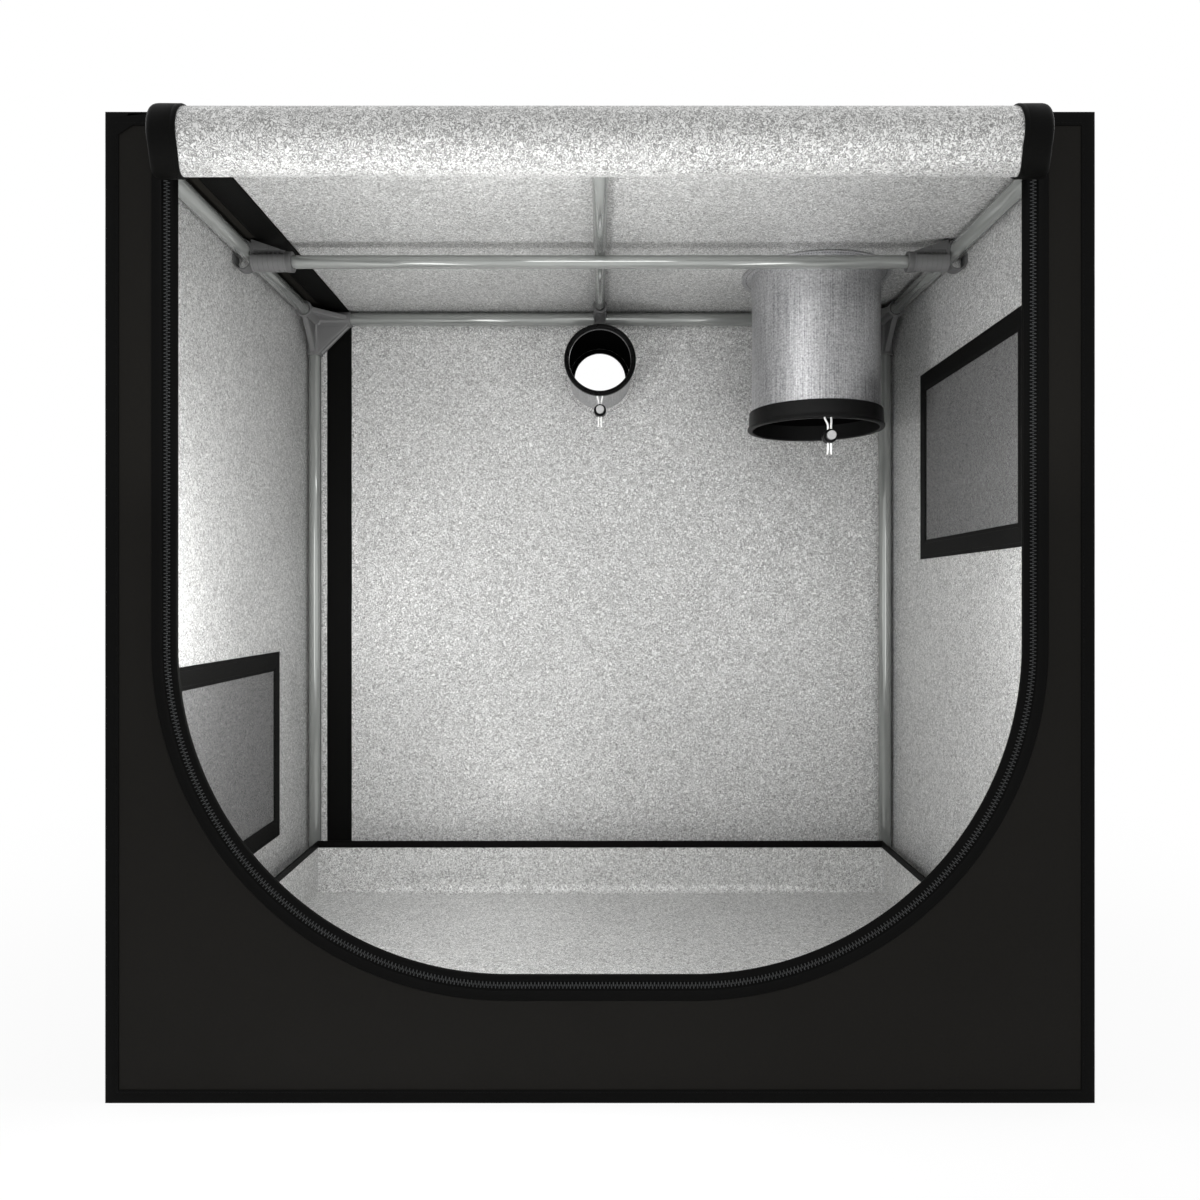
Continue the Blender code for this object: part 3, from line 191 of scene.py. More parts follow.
add_floor()
add_world()
for name, place in SIDE_LAMPS:
    add_area_lamp(name, place, TENT_MIDDLE, SIDE_LAMP_SIZE, SIDE_LAMP_SIZE, SIDE_LAMP_POWER)
roll_lamp = add_area_lamp("roll_lamp", (0, -0.40, 0.55), (0, -0.34, 0.88), 0.70, 0.05, 1.3)
roll_lamp.visible_glossy = False
for name, place, wide, tall, power in STRIP_LAMPS:
    add_area_lamp(name, place, Vector(place) + Vector((0, 1, 0)), wide, tall, power)
for name, place, power in INSIDE_LAMPS:
    bpy.ops.object.light_add(type="POINT", location=place)
    lamp = bpy.context.object
    lamp.name = name
    lamp.data.energy = power
    lamp.data.shadow_soft_size = 0.05 if name.startswith("mouth") else 0.02
    lamp.visible_camera = False
    lamp.visible_glossy = False


# Poles. Twelve straight lengths of 19 mm steel tube, plated and polished before they are cut, with
# a small round on each cut end. They push into the corners up to a stop.
POLE_SIDES = 48
POLE_RADIUS = 0.0095
TUBE_WALL = 0.0010
TUBE_ROUND = 0.0003
SHADE_ANGLE = math.radians(35)
POLES = [name for name in sorted(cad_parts) if name.startswith("pole_")]


def add_noise(tree, place, scale, detail, distortion=0):
    """Add a noise texture at a place in space and return its value."""
    inputs = {"Vector": place, "Scale": scale, "Detail": detail, "Distortion": distortion}
    return add_node(tree, "ShaderNodeTexNoise", inputs, "Fac")


def add_tint(tree, value, dark, light):
    """Mix two colours by a value and return the colour."""
    inputs = {"Factor": value, "A": (*dark, 1), "B": (*light, 1)}
    return add_node(tree, "ShaderNodeMix", inputs, "Result", data_type="RGBA")


def add_bump(tree, height, depth, inputs):
    """Raise a surface by a height map of a given depth in metres."""
    bump = add_node(tree, "ShaderNodeBump", {"Height": height, "Strength": 1, "Distance": depth})
    tree.links.new(bump, inputs["Normal"])


def solid_material(name, roughness, metallic, patch, tones, gloss, grain):
    """Make a surface with patches of two close tones, a range of gloss and a fine grain."""
    surface, tree, inputs, place = new_material(name, roughness, metallic)
    patches = add_noise(tree, place, *patch)
    tree.links.new(add_tint(tree, patches, *tones), inputs["Base Color"])
    if gloss:
        tree.links.new(add_ramp(tree, patches, 0.3, 0.7, *gloss), inputs["Roughness"])
    add_bump(tree, add_noise(tree, place, grain[0], 2), grain[1], inputs)
    return surface


def only(piece):
    """Select one piece alone and make it the active one."""
    bpy.ops.object.select_all(action="DESELECT")
    piece.select_set(True)
    bpy.context.view_layer.objects.active = piece


def settle(piece, body, slot, material, *nodes):
    """Put a piece's place into its mesh, give it its finish and let it move with its body."""
    only(piece)
    bpy.ops.object.transform_apply(location=True, rotation=True, scale=True)
    if material:
        piece.data.materials.clear()
        piece.data.materials.append(material)
    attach(piece, body)
    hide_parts(*nodes)
    piece.select_set(False)
    return piece


def smooth(piece):
    """Shade a piece smooth, apart from its sharp corners."""
    only(piece)
    bpy.ops.object.shade_smooth_by_angle(angle=SHADE_ANGLE)


def round_edges(piece, width, segments):
    """Round a piece's sharp edges by a width and shade it smooth."""
    bevel = piece.modifiers.new("round", "BEVEL")
    bevel.width = width
    bevel.segments = segments
    bevel.limit_method = "ANGLE"
    bevel.angle_limit = SHADE_ANGLE
    bpy.context.view_layer.objects.active = piece
    bpy.ops.object.modifier_apply(modifier=bevel.name)
    smooth(piece)


def add_tube(name, low, high, wall):
    """Model an open tube in a box by hollowing a cylinder, with its cut ends rounded."""
    size = high - low
    along = max(range(3), key=lambda axis: size[axis])
    turns = ((0, math.pi / 2, 0), (math.pi / 2, 0, 0), (0, 0, 0))
    bpy.ops.mesh.primitive_cylinder_add(
        vertices=POLE_SIDES,
        radius=min(size) / 2,
        depth=size[along],
        location=(low + high) / 2,
        rotation=turns[along],
    )
    tube = bpy.context.object
    tube.name = name
    bpy.ops.object.mode_set(mode="EDIT")
    bpy.ops.mesh.select_all(action="DESELECT")
    shape = bmesh.from_edit_mesh(tube.data)
    for face in shape.faces:
        face.select_set(len(face.verts) == POLE_SIDES)
    bmesh.update_edit_mesh(tube.data)
    bpy.ops.mesh.inset(thickness=wall)
    bpy.ops.mesh.bridge_edge_loops()
    bpy.ops.object.mode_set(mode="OBJECT")
    round_edges(tube, TUBE_ROUND, 2)
    return tube


STEEL_TONES = (0.27, 0.28, 0.27), (0.32, 0.33, 0.32)
steel = solid_material("pole_steel", 0.2, 0.6, (12, 2), STEEL_TONES, (0.09, 0.13), (900, 0.00001))
for node in POLES:
    settle(add_tube(f"{node}_tube", *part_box(node), TUBE_WALL), "tent", "pole_steel", steel, node)


# Corners. Eight three-way mouldings of grey glass-filled nylon: a bevelled block, three sockets
# with a lip at their mouths, and flat webs with a raised frame between each two sockets.
CORNER_RADIUS = 0.0116
CORNER_LEG = 0.056
CORNER_LIP_RISE = 0.0006
CORNER_LIP_LENGTH = 0.0030
CORNER_WEBS = (0.0080, 0.0080, 0.0180)
CORNER_WEB_EDGE = 0.0012
CORNER_SHOULDER = 0.0085
CORNER_FRAME_RISE = 0.0002
CORNER_FRAME_WIDTH = 0.0022
CORNER_SIDES = 40
CORNER_BORE_START = 0.016
CORNER_ROUND = 0.0030
BORE_GAP = 0.0002
X, Y, Z = AXES = Vector((1, 0, 0)), Vector((0, 1, 0)), Vector((0, 0, 1))


def add_edge_wear_and_highlight(tree, low, high):
    """Return how far an edge is rubbed bare or painted with a highlight, from how sharp it is."""
    sharp = add_node(tree, "ShaderNodeNewGeometry", {}, "Pointiness")
    return add_ramp(tree, sharp, low, high, 0, 1)


def moulded_plastic(name, tone):
    """Make the matt grey plastic of the corners or the clips, lighter along its sharp edges as a painted
    highlight.
    """
    tones = (0.095 * tone,) * 3, (0.120 * tone,) * 3
    surface = solid_material(name, 0.5, 0, (60, 4), tones, (0.36, 0.5), (1800, 0.00005))
    tree = surface.node_tree
    colour = tree.nodes["Principled BSDF"].inputs["Base Color"]
    # Sharp edges are painted lighter: a painted highlight along the bevels.
    edge_highlight = {"Factor": add_edge_wear_and_highlight(tree, 0.56, 0.66), "A": colour.links[0].from_socket}
    edge_highlight["B"] = (*(0.26 * tone**2,) * 3, 1)
    tree.links.new(add_node(tree, "ShaderNodeMix", edge_highlight, "Result", data_type="RGBA"), colour)
    return surface


def add_round_bar(start, end, radius, sides):
    """Add a closed cylinder between two points."""
    start, end = Vector(start), Vector(end)
    along = end - start
    bpy.ops.mesh.primitive_cylinder_add(
        vertices=sides,
        radius=radius,
        depth=along.length,
        location=(start + end) / 2,
        rotation=along.to_track_quat("Z", "Y").to_euler(),
    )
    bpy.ops.object.transform_apply(location=True, rotation=True, scale=True)
    return bpy.context.object


def new_piece(name, shape):
    """Turn a bare mesh into a piece of the scene."""
    mesh = bpy.data.meshes.new(name)
    shape.to_mesh(mesh)
    shape.free()
    piece = bpy.data.objects.new(name, mesh)
    bpy.context.scene.collection.objects.link(piece)
    return piece


def extrude(piece, way):
    """Give the flat mesh that is being edited its thickness, with its normals outward."""
    bpy.ops.mesh.select_all(action="SELECT")
    bpy.ops.mesh.extrude_region_move(TRANSFORM_OT_translate={"value": way})
    bpy.ops.mesh.select_all(action="SELECT")
    bpy.ops.mesh.normals_make_consistent(inside=False)
    bpy.ops.object.mode_set(mode="OBJECT")
    return piece


def add_plate(outline, across, up, thickness, edge):
    """Add a flat plate, centred on the plane of two directions, with its rim bevelled."""
    normal = across.cross(up)
    shape = bmesh.new()
    corners = [shape.verts.new(across * u + up * v - normal * thickness / 2) for u, v in outline]
    shape.faces.new(corners)
    bmesh.ops.remove_doubles(shape, verts=shape.verts, dist=0.00001)
    plate = new_piece("plate", shape)
    only(plate)
    bpy.ops.object.mode_set(mode="EDIT")
    extrude(plate, normal * thickness)
    if edge:
        round_edges(plate, edge, 2)
    return plate


def merge(base, others, operation="UNION"):
    """Fuse other pieces into a base, or cut them from it, and delete them."""
    for other in others:
        change = base.modifiers.new(operation.lower(), "BOOLEAN")
        change.operation = operation
        change.solver = "EXACT"
        change.object = other
        bpy.context.view_layer.objects.active = base
        bpy.ops.object.modifier_apply(modifier=change.name)
        bpy.data.objects.remove(other)
    smooth(base)
    return base


def corner_moulding():
    """Model one corner with its sockets along +X, +Y and +Z."""
    bpy.ops.mesh.primitive_cube_add(size=2 * CORNER_RADIUS * 0.97)
    corner = bpy.context.object
    round_edges(corner, CORNER_ROUND, 4)
    parts, bores = [], []
    reach, lip_start = CORNER_LEG - 0.002, CORNER_LEG - CORNER_LIP_LENGTH
    lip_radius, bore_radius = CORNER_RADIUS + CORNER_LIP_RISE, POLE_RADIUS + BORE_GAP
    outline = [(0, 0), (reach, 0), (reach, CORNER_SHOULDER), (CORNER_SHOULDER, reach), (0, reach)]
    for index, across in enumerate(AXES):
        up = AXES[(index + 1) % 3]
        leg_end = across * (CORNER_LEG - CORNER_LIP_LENGTH / 2)
        leg = add_round_bar((0, 0, 0), leg_end, CORNER_RADIUS, CORNER_SIDES)
        lip = add_round_bar(across * lip_start, across * CORNER_LEG, lip_radius, CORNER_SIDES)
        round_edges(lip, 0.0005, 2)
        web = add_plate(outline, across, up, CORNER_WEBS[index], CORNER_WEB_EDGE)
        parts += [leg, lip, web, raised_frame(across, up, CORNER_WEBS[index])]
    merge(corner, parts)
    for across in AXES:
        mouth = across * (CORNER_LEG + 0.002)
        bores.append(add_round_bar(across * CORNER_BORE_START, mouth, bore_radius, CORNER_SIDES))
    return merge(corner, bores, "DIFFERENCE")


def raised_frame(across, up, web):
    """Model the low frame that runs round both faces of a web, just inside its edges."""
    near = CORNER_RADIUS + 0.0012
    far = CORNER_LEG + 0.0020 - near
    thickness = web + 2 * CORNER_FRAME_RISE
    band = add_plate([(near, near), (far, near), (near, far)], across, up, thickness, 0.0003)
    low, high = near + CORNER_FRAME_WIDTH, far - CORNER_FRAME_WIDTH * 2.4
    hole = add_plate([(low, low), (high, low), (low, high)], across, up, thickness + 0.002, 0)
    return merge(band, [hole], "DIFFERENCE")


def copy_mirrored(pattern, name, place, signs=(1, 1, 1)):
    """Add a copy of a piece with its own mesh at a place, mirrored by a sign along each axis."""
    piece = pattern.copy()
    piece.data = pattern.data.copy()
    piece.name = name
    bpy.context.scene.collection.objects.link(piece)
    piece.data.transform(Matrix.Translation(place) @ Matrix.Diagonal((*signs, 1)))
    if signs[0] * signs[1] * signs[2] < 0:
        piece.data.flip_normals()
    return piece


plastic = moulded_plastic("corner_plastic", 1.0)
pattern = corner_moulding()
for end, deep in (("front", 1), ("back", -1)):
    for side, wide in (("left", 1), ("right", -1)):
        for level, tall in (("low", 1), ("top", -1)):
            node = f"corner_{end}_{side}_{level}"
            low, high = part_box(node)
            signs = (wide, deep, tall)
            place = [(low[i] if signs[i] > 0 else high[i]) + signs[i] * CORNER_RADIUS for i in range(3)]
            piece = copy_mirrored(pattern, f"{node}_moulding", place, signs)
            settle(piece, "tent", "connector_plastic", plastic, node)
bpy.data.objects.remove(pattern)


# Hanging bars. The cross bar is one 16 mm tube; the centre bar is two that slide into each other.
# Each end sits in a moulded clip: a ribbed sleeve, a gusset and a hook that drops over a pole.
HOOK_BORE = 0.0098
HOOK_WALL = 0.0018
HOOK_WIDTH = 0.0180
HOOK_LIP = 0.0080
SLEEVE_LENGTH = 0.049
COLLAR_LENGTH = 0.007
COLLAR_RISE = 0.0004
GUSSET = 0.0168
RECESS_FACE = 0.0068
RECESS_LOW = 0.0055
RECESS_HIGH = 0.0132
SLIT = 0.0010
RIB_COUNT = 6
RIB_THICKNESS = 0.0012
HOOK_STEPS = 18
GROOVE_COUNT = 7
GROOVE_SPACING = 0.0061
GROOVE_RADIUS = 0.00025
BAR_BODIES = {"cross_bar": "cross_bar", "centre_bar_front": "centre_bar", "centre_bar_rear": "centre_bar"}
CROSS_BAR_RADIUS = 0.0080
REAR_BAR_RADIUS = 0.0067
CROSS_SLEEVE_RADIUS = 0.0120
CENTRE_SLEEVE_RADIUS = 0.0100
HANDS = (("left", -1), ("right", 1))


def arc(centre, radius, start, end, steps):
    """Return points along an arc, with angles in degrees and both ends included."""
    angles = [math.radians(start + (end - start) * step / steps) for step in range(steps + 1)]
    return [(centre[0] + radius * math.cos(a), centre[1] + radius * math.sin(a)) for a in angles]


def add_block(size, place):
    """Add a block of a size, centred on a place."""
    bpy.ops.mesh.primitive_cube_add(size=1, location=place)
    block = bpy.context.object
    block.dimensions = size
    bpy.ops.object.transform_apply(location=True, rotation=True, scale=True)
    return block


def box_between(first, second):
    """Model a block between any two opposite corners."""
    first, second = Vector(first), Vector(second)
    return add_block([abs(length) for length in second - first], (first + second) / 2)


def add_groove(radius, depth, place, turn, sides):
    """Add the ring that cuts a groove round a bar."""
    bpy.ops.mesh.primitive_torus_add(
        major_radius=radius, minor_radius=depth, major_segments=sides, minor_segments=8,
        location=place, rotation=turn,
    )
    return bpy.context.object


def middle_of(node):
    """Return the middle of a node's box."""
    low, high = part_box(node)
    return (low + high) / 2


def hook_outline(slot_low):
    """Return the outline of the hook that wraps a pole, as seen along the pole."""
    outer = HOOK_BORE + HOOK_WALL
    low_centre = (0, slot_low + HOOK_BORE)
    lip = low_centre[1] + HOOK_LIP
    outline = arc((0, 0), outer, 105, 0, HOOK_STEPS)
    outline += arc(low_centre, outer, 0, -180, HOOK_STEPS)
    outline += [(-outer, lip), (-HOOK_BORE, lip)]
    outline += arc(low_centre, HOOK_BORE, -180, 0, HOOK_STEPS)
    outline += arc((0, 0), HOOK_BORE, 0, 105, HOOK_STEPS)
    return outline


def bar_clip(height, slot_low, sleeve_radius, bar_radius):
    """Model a clip whose hook holds a pole along Y and whose sleeve holds a bar along +X."""
    clip = add_plate(hook_outline(slot_low), X, Z, HOOK_WIDTH, 0.0004)
    start = HOOK_BORE + HOOK_WALL / 2
    end = start + SLEEVE_LENGTH
    side = 1 if height < 0 else -1
    collar_start = end - COLLAR_LENGTH

    def add_sleeve(low, high, radius):
        return add_round_bar((low, 0, height), (high, 0, height), radius, CORNER_SIDES)

    sleeve = add_sleeve(start, end, sleeve_radius)
    collar = add_sleeve(collar_start, end + COLLAR_RISE, sleeve_radius + COLLAR_RISE)
    round_edges(collar, 0.0004, 2)
    crown = side * start
    foot = height + side * (sleeve_radius - HOOK_WALL / 2)
    outline = [(start, height), (collar_start, height), (collar_start, foot), (start, crown)]
    merge(clip, [sleeve, collar, add_plate(outline, X, Z, GUSSET, 0.0005)])
    left, right = start + 0.0030, collar_start - 0.0020
    near = height + side * RECESS_LOW
    far = height + side * min(RECESS_HIGH, abs(crown - height) - 0.001)
    middle = (left + right) / 2
    spacing = (right - left) / (RIB_COUNT + 1)
    cuts, ribs = [], []
    for face in (-1, 1):
        inner, outer = face * RECESS_FACE, face * 0.0140
        cuts.append(box_between((left, inner, near), (right, outer, far)))
        cuts.append(box_between((middle - SLIT, inner, near), (middle, outer, far + side * 0.0045)))
        for index in range(RIB_COUNT):
            x = left + spacing * (index + 1) - RIB_THICKNESS / 2
            rib_low = (x, face * (RECESS_FACE - 0.0004), near)
            rib_high = (x + RIB_THICKNESS, face * (RECESS_FACE + 0.0014), near + (far - near) * 0.6)
            ribs.append(box_between(rib_low, rib_high))
    for index in range(GROOVE_COUNT):
        place = (left + GROOVE_SPACING * index, 0, height)
        turn = (0, math.pi / 2, 0)
        cuts.append(add_groove(sleeve_radius + 0.0001, GROOVE_RADIUS, place, turn, CORNER_SIDES))
    merge(clip, cuts, "DIFFERENCE")
    merge(clip, ribs)
    bore = add_sleeve(HOOK_BORE + HOOK_WALL, end + 0.003, bar_radius + BORE_GAP)
    return merge(clip, [bore], "DIFFERENCE")


def add_bars():
    """Set the two hanging bars with their clips."""
    for node, body in BAR_BODIES.items():
        settle(add_tube(f"{node}_tube", *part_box(node), TUBE_WALL), body, "pole_steel", steel, node)
    bar = middle_of("cross_bar")
    drop = bar.z - middle_of("pole_side_left_top").z
    clip = bar_clip(drop, drop - CROSS_SLEEVE_RADIUS + HOOK_WALL, CROSS_SLEEVE_RADIUS, CROSS_BAR_RADIUS)
    for side, sign in HANDS:
        pole = middle_of(f"pole_side_{side}_top")
        node = f"cross_bar_clip_{side}"
        piece = copy_mirrored(clip, f"{node}_moulding", (pole.x, bar.y, pole.z), (-sign, 1, 1))
        settle(piece, "cross_bar", "connector_plastic", shaded_clip_plastic, node)
    bpy.data.objects.remove(clip)
    for end, sign, bar_radius in (("front", 1, CROSS_BAR_RADIUS), ("back", -1, REAR_BAR_RADIUS)):
        pole = middle_of(f"pole_cross_{end}_top")
        rise = middle_of("centre_bar_front").z - pole.z
        clip = bar_clip(rise, -HOOK_BORE, CENTRE_SLEEVE_RADIUS, bar_radius)
        place = Matrix.Translation((0, pole.y, pole.z))
        clip.data.transform(place @ Matrix.Rotation(sign * math.pi / 2, 4, "Z"))
        node = f"centre_bar_clip_{end}"
        clip.name = f"{node}_moulding"
        settle(clip, "centre_bar", "connector_plastic", shaded_clip_plastic, node)


# The clips take the corners' plastic painted darker by a tone of 0.6, as painted shade.
shaded_clip_plastic = moulded_plastic("shaded_clip_plastic", 0.6)
add_bars()


# Cover cloth. Six panels of coated polyester, black outside and silver inside, cut flat and drawn
# over the frame. A folded black tape binds the edges of the front and of the back panel.
WALL_CLOTH = 0.0010
SLACK = 0.0005
CLOTH_STEP = 0.012
WELD = 0.00001
STITCH_LENGTH = 0.0026
STITCH_PITCH = 0.0034
STITCH_WIDTH = 0.0006


def weave_group():
    """Build the group that gives a woven cloth's height and its uneven shade."""
    group = bpy.data.node_groups.new("Woven cloth", "ShaderNodeTree")
    for name, kind in (("Place", "Vector"), ("Threads per metre", "Float")):
        group.interface.new_socket(name, in_out="INPUT", socket_type=f"NodeSocket{kind}")
    for name in ("Height", "Shade"):
        group.interface.new_socket(name, in_out="OUTPUT", socket_type="NodeSocketFloat")
    given = group.nodes.new("NodeGroupInput").outputs
    result = group.nodes.new("NodeGroupOutput").inputs
    place = given["Place"]
    kind = "ShaderNodeVectorMath"
    scaled = add_node(group, kind, {0: place, "Scale": given["Threads per metre"]}, operation="SCALE")
    waves = add_node(group, kind, {0: scaled}, operation="SINE")
    raised = add_node(group, kind, {0: waves}, operation="ABSOLUTE")
    height = add_node(group, kind, {0: raised, 1: (0.5, 0.5, 0.5)}, "Value", operation="DOT_PRODUCT")
    group.links.new(height, result["Height"])
    coarse, broad = add_noise(group, place, 420, 2), add_noise(group, place, 9, 3)
    group.links.new(add_weighted(group, coarse, 0.6, broad, 0.4), result["Shade"])
    return group


def add_weighted(tree, first, first_share, second, second_share):
    """Add two values, each times its share."""
    part = add_math(tree, "MULTIPLY", second, second_share)
    return add_math(tree, "MULTIPLY_ADD", first, first_share, part)


def add_weave(tree, place, threads):
    """Add the woven cloth's group with so many threads to a metre and return its outputs."""
    inputs = {"Place": place, "Threads per metre": threads * math.pi}
    return add_node(tree, "ShaderNodeGroup", inputs, node_tree=WEAVE).node.outputs


def woven_material(name, dark, light, roughness, threads, depth, gloss=0.15):
    """Make a woven cloth of two close colours, with so many threads to a metre."""
    surface, tree, inputs, place = new_material(name, roughness)
    inputs["Specular IOR Level"].default_value = gloss
    weave = add_weave(tree, place, threads)
    tree.links.new(add_tint(tree, weave["Shade"], dark, light), inputs["Base Color"])
    add_bump(tree, weave["Height"], depth, inputs)
    return surface


def silver_material():
    """Make the silver lining: a bright film embossed with small curls on a woven ground."""
    surface, tree, inputs, place = new_material("silver_lining", 0.38, 0.55)
    curls = add_noise(tree, place, 320, 1.0, 1.2)
    broad = add_noise(tree, place, 14, 3)
    speckle = add_ramp(tree, curls, 0.40, 0.60, 0, 1)
    away = add_math(tree, "ABSOLUTE", add_math(tree, "SUBTRACT", curls, 0.5))
    strokes = add_ramp(tree, away, 0.0, 0.10, 0, 1)
    grain = add_weighted(tree, strokes, 0.8, speckle, 0.1)
    shade = add_weighted(tree, grain, 1, broad, 0.12)
    colour = add_tint(tree, shade, (0.12, 0.12, 0.117), (0.88, 0.88, 0.87))
    tree.links.new(colour, inputs["Base Color"])
    tree.links.new(add_ramp(tree, broad, 0.3, 0.7, 0.36, 0.42), inputs["Roughness"])
    add_bump(tree, add_weighted(tree, strokes, 0.4, curls, 1), 0.0008, inputs)
    return surface


def slack_at(across, up):
    """Return how far a panel's cloth stands proud of its plane at a place on it."""
    broad = noise.noise(Vector((across * 5.1, up * 4.3, 0.7)))
    fine = noise.noise(Vector((across * 17, up * 13, 4.1)))
    return SLACK * (1 + broad + 0.35 * fine)


def ease_in(place, low, high, margin):
    """Return 0 at a panel's edge and 1 a margin inside it."""
    return max(0, min(1, min(place - low, high - place) / margin))


def spread(low, high, step, stops=()):
    """Return places from low to high about a step apart, with each stop among them."""
    marks = sorted({low, high, *stops})
    places = [marks[0]]
    for start, end in zip(marks, marks[1:]):
        count = max(1, round((end - start) / step))
        places += [start + (end - start) * index / count for index in range(1, count + 1)]
    return places


def add_cloth(name, rows, outside, inside, thickness, outward, closed=False, keep=None):
    """Sew a sheet from rows of points, its outside facing as `outward` says and its inside behind it.

    `keep` leaves cells out, where the cloth is cut away.
    """
    shape = bmesh.new()
    verts = [[shape.verts.new(point) for point in row] for row in rows]
    columns = len(rows[0])
    for row in range(len(rows) - 1):
        for column in range(columns if closed else columns - 1):
            if keep and not keep(row, column):
                continue
            after = (column + 1) % columns
            near, far = verts[row], verts[row + 1]
            shape.faces.new((near[column], near[after], far[after], far[column])).smooth = True
    loose = [vert for vert in shape.verts if not vert.link_faces]
    bmesh.ops.delete(shape, geom=loose, context="VERTS")
    bmesh.ops.remove_doubles(shape, verts=shape.verts, dist=WELD)
    bmesh.ops.recalc_face_normals(shape, faces=shape.faces)
    shape.faces.ensure_lookup_table()
    first = shape.faces[0]
    if first.normal.dot(outward(first.calc_center_median())) < 0:
        bmesh.ops.reverse_faces(shape, faces=shape.faces)
    cloth = new_piece(name, shape)
    cloth.data.materials.append(outside)
    if inside:
        cloth.data.materials.append(inside)
    thicken = cloth.modifiers.new("cloth", "SOLIDIFY")
    thicken.thickness = thickness
    thicken.offset = -1
    thicken.use_even_offset = not closed
    thicken.material_offset = 1 if inside else 0
    bpy.context.view_layer.objects.active = cloth
    bpy.ops.object.modifier_apply(modifier=thicken.name)
    smooth(cloth)
    return cloth


def panel_rows(thin, plane, sign, first, second, slack=1.0):
    """Return the points of a panel square to one axis, standing a little proud between its edges."""
    across, up = [axis for axis in range(3) if axis != thin]
    rows = []
    for v in second:
        row = []
        for u in first:
            point = Vector((0, 0, 0))
            point[across], point[up] = u, v
            eased = ease_in(u, first[0], first[-1], 0.05) * ease_in(v, second[0], second[-1], 0.05)
            point[thin] = plane + sign * slack * slack_at(u, v) * eased
            row.append(point)
        rows.append(row)
    return rows


def add_stitches(name, points, outward, body, node, closed=False):
    """Sew a row of stitches along points on a cloth, each a low bead with pointed ends."""
    points = [Vector(point) for point in points]
    if closed:
        points.append(points[0])
    shape = bmesh.new()
    carried = STITCH_PITCH / 2
    for start, end in zip(points, points[1:]):
        span = (end - start).length
        if span == 0:
            continue
        along = (end - start) / span
        while carried < span:
            middle = start + along * carried
            normal = outward(middle)
            side = along.cross(normal).normalized() * STITCH_WIDTH / 2
            half = along * STITCH_LENGTH / 2
            top = normal * STITCH_WIDTH * 0.6
            ends = [shape.verts.new(middle - half), shape.verts.new(middle + half)]
            moves = (side, top + side * 0.4, top - side * 0.4, -side)
            near, far = [
                [shape.verts.new(middle + half * share + move) for move in moves] for share in (-0.6, 0.6)
            ]
            for index in range(3):
                shape.faces.new((near[index], far[index], far[index + 1], near[index + 1]))
                shape.faces.new((ends[0], near[index], near[index + 1]))
                shape.faces.new((far[index], ends[1], far[index + 1]))
            carried += STITCH_PITCH
        carried -= span
    bmesh.ops.recalc_face_normals(shape, faces=shape.faces)
    return settle(new_piece(name, shape), body, "trim_black", black_thread, node)


def facing(direction):
    """Return a function that gives the same outward direction at every place."""
    normal = Vector(direction)
    return lambda place: normal


def rectangle_path(half, low, high, plane, step):
    """Return points round an upright rectangle that faces the front or the back."""
    xs, zs = spread(-half, half, step), spread(low, high, step)
    path = [(x, plane, low) for x in xs[:-1]]
    path += [(half, plane, z) for z in zs[:-1]]
    path += [(x, plane, high) for x in reversed(xs[1:])]
    path += [(-half, plane, z) for z in reversed(zs[1:])]
    return path


BINDING_PROFILE = (
    (0.01200, 0.00005), (0.01190, 0.00060), (0.01140, 0.00080), (0.01020, 0.00085), (0.00970, 0.00070),
    (0.00920, 0.00085), (0.00500, 0.00095), (0.00120, 0.00090), (0.00020, 0.00075), (-0.00040, 0.00040),
    (-0.00060, -0.00030), (-0.00065, -0.00300), (-0.00060, -0.00880), (-0.00020, -0.00920),
)


def add_binding(name, plane, sign, node):
    """Bind the edge of a panel with a tape folded round it, mitred at the corners."""
    half, low, high = TENT_HALF, cad_low.z, TENT_TOP
    rows = []
    for inward, rise in BINDING_PROFILE:
        path = rectangle_path(half - inward, low + max(inward, 0), high - inward, plane, 0.02)
        row = []
        for x, y, z in path:
            pucker = 0.00012 * noise.noise(Vector((x * 60, z * 60, plane * 9)))
            row.append(Vector((x, y + sign * (rise + pucker * (rise > 0.0002)), z)))
        rows.append(row)
    centre = Vector((0, plane - sign * 0.004, (low + high) / 2))

    def outward(place):
        return Y * sign if abs(place.y - plane) < 0.001 else place - centre

    binding = add_cloth(name, rows, black_tape, None, 0.0005, outward, closed=True)
    settle(binding, "tent", "trim_black", None, node)
    stitches = rectangle_path(half - 0.0097, low + 0.0097, high - 0.0097, plane + sign * 0.0007, 0.02)
    add_stitches(f"{name}_stitches", stitches, facing(Y * sign), "tent", node, closed=True)


WEAVE = weave_group()
TENT_HALF = 0.450
TENT_FRONT = -0.300
TENT_BACK = 0.300
TENT_TOP = 0.902
COVER_TONES = (0.0080, 0.0075, 0.0064), (0.0140, 0.0130, 0.0114)
TAPE_TONES = (0.0018, 0.0018, 0.0017), (0.0036, 0.0036, 0.0034)
black_cloth = woven_material("cover_cloth", *COVER_TONES, 0.62, 1500, 0.00012, 0.08)
black_tape = woven_material("binding_tape", *TAPE_TONES, 0.5, 2200, 0.00006, 0.05)
black_thread = woven_material("black_thread", (0.003,) * 3, (0.008,) * 3, 0.5, 3000, 0.00005, 0.1)
silver = silver_material()
OPENING_HALF = 0.385
OPENING_LOW = 0.1165
OPENING_TOP = 0.875
OPENING_RADIUS = 0.300
OPENING_SEGMENTS = 48


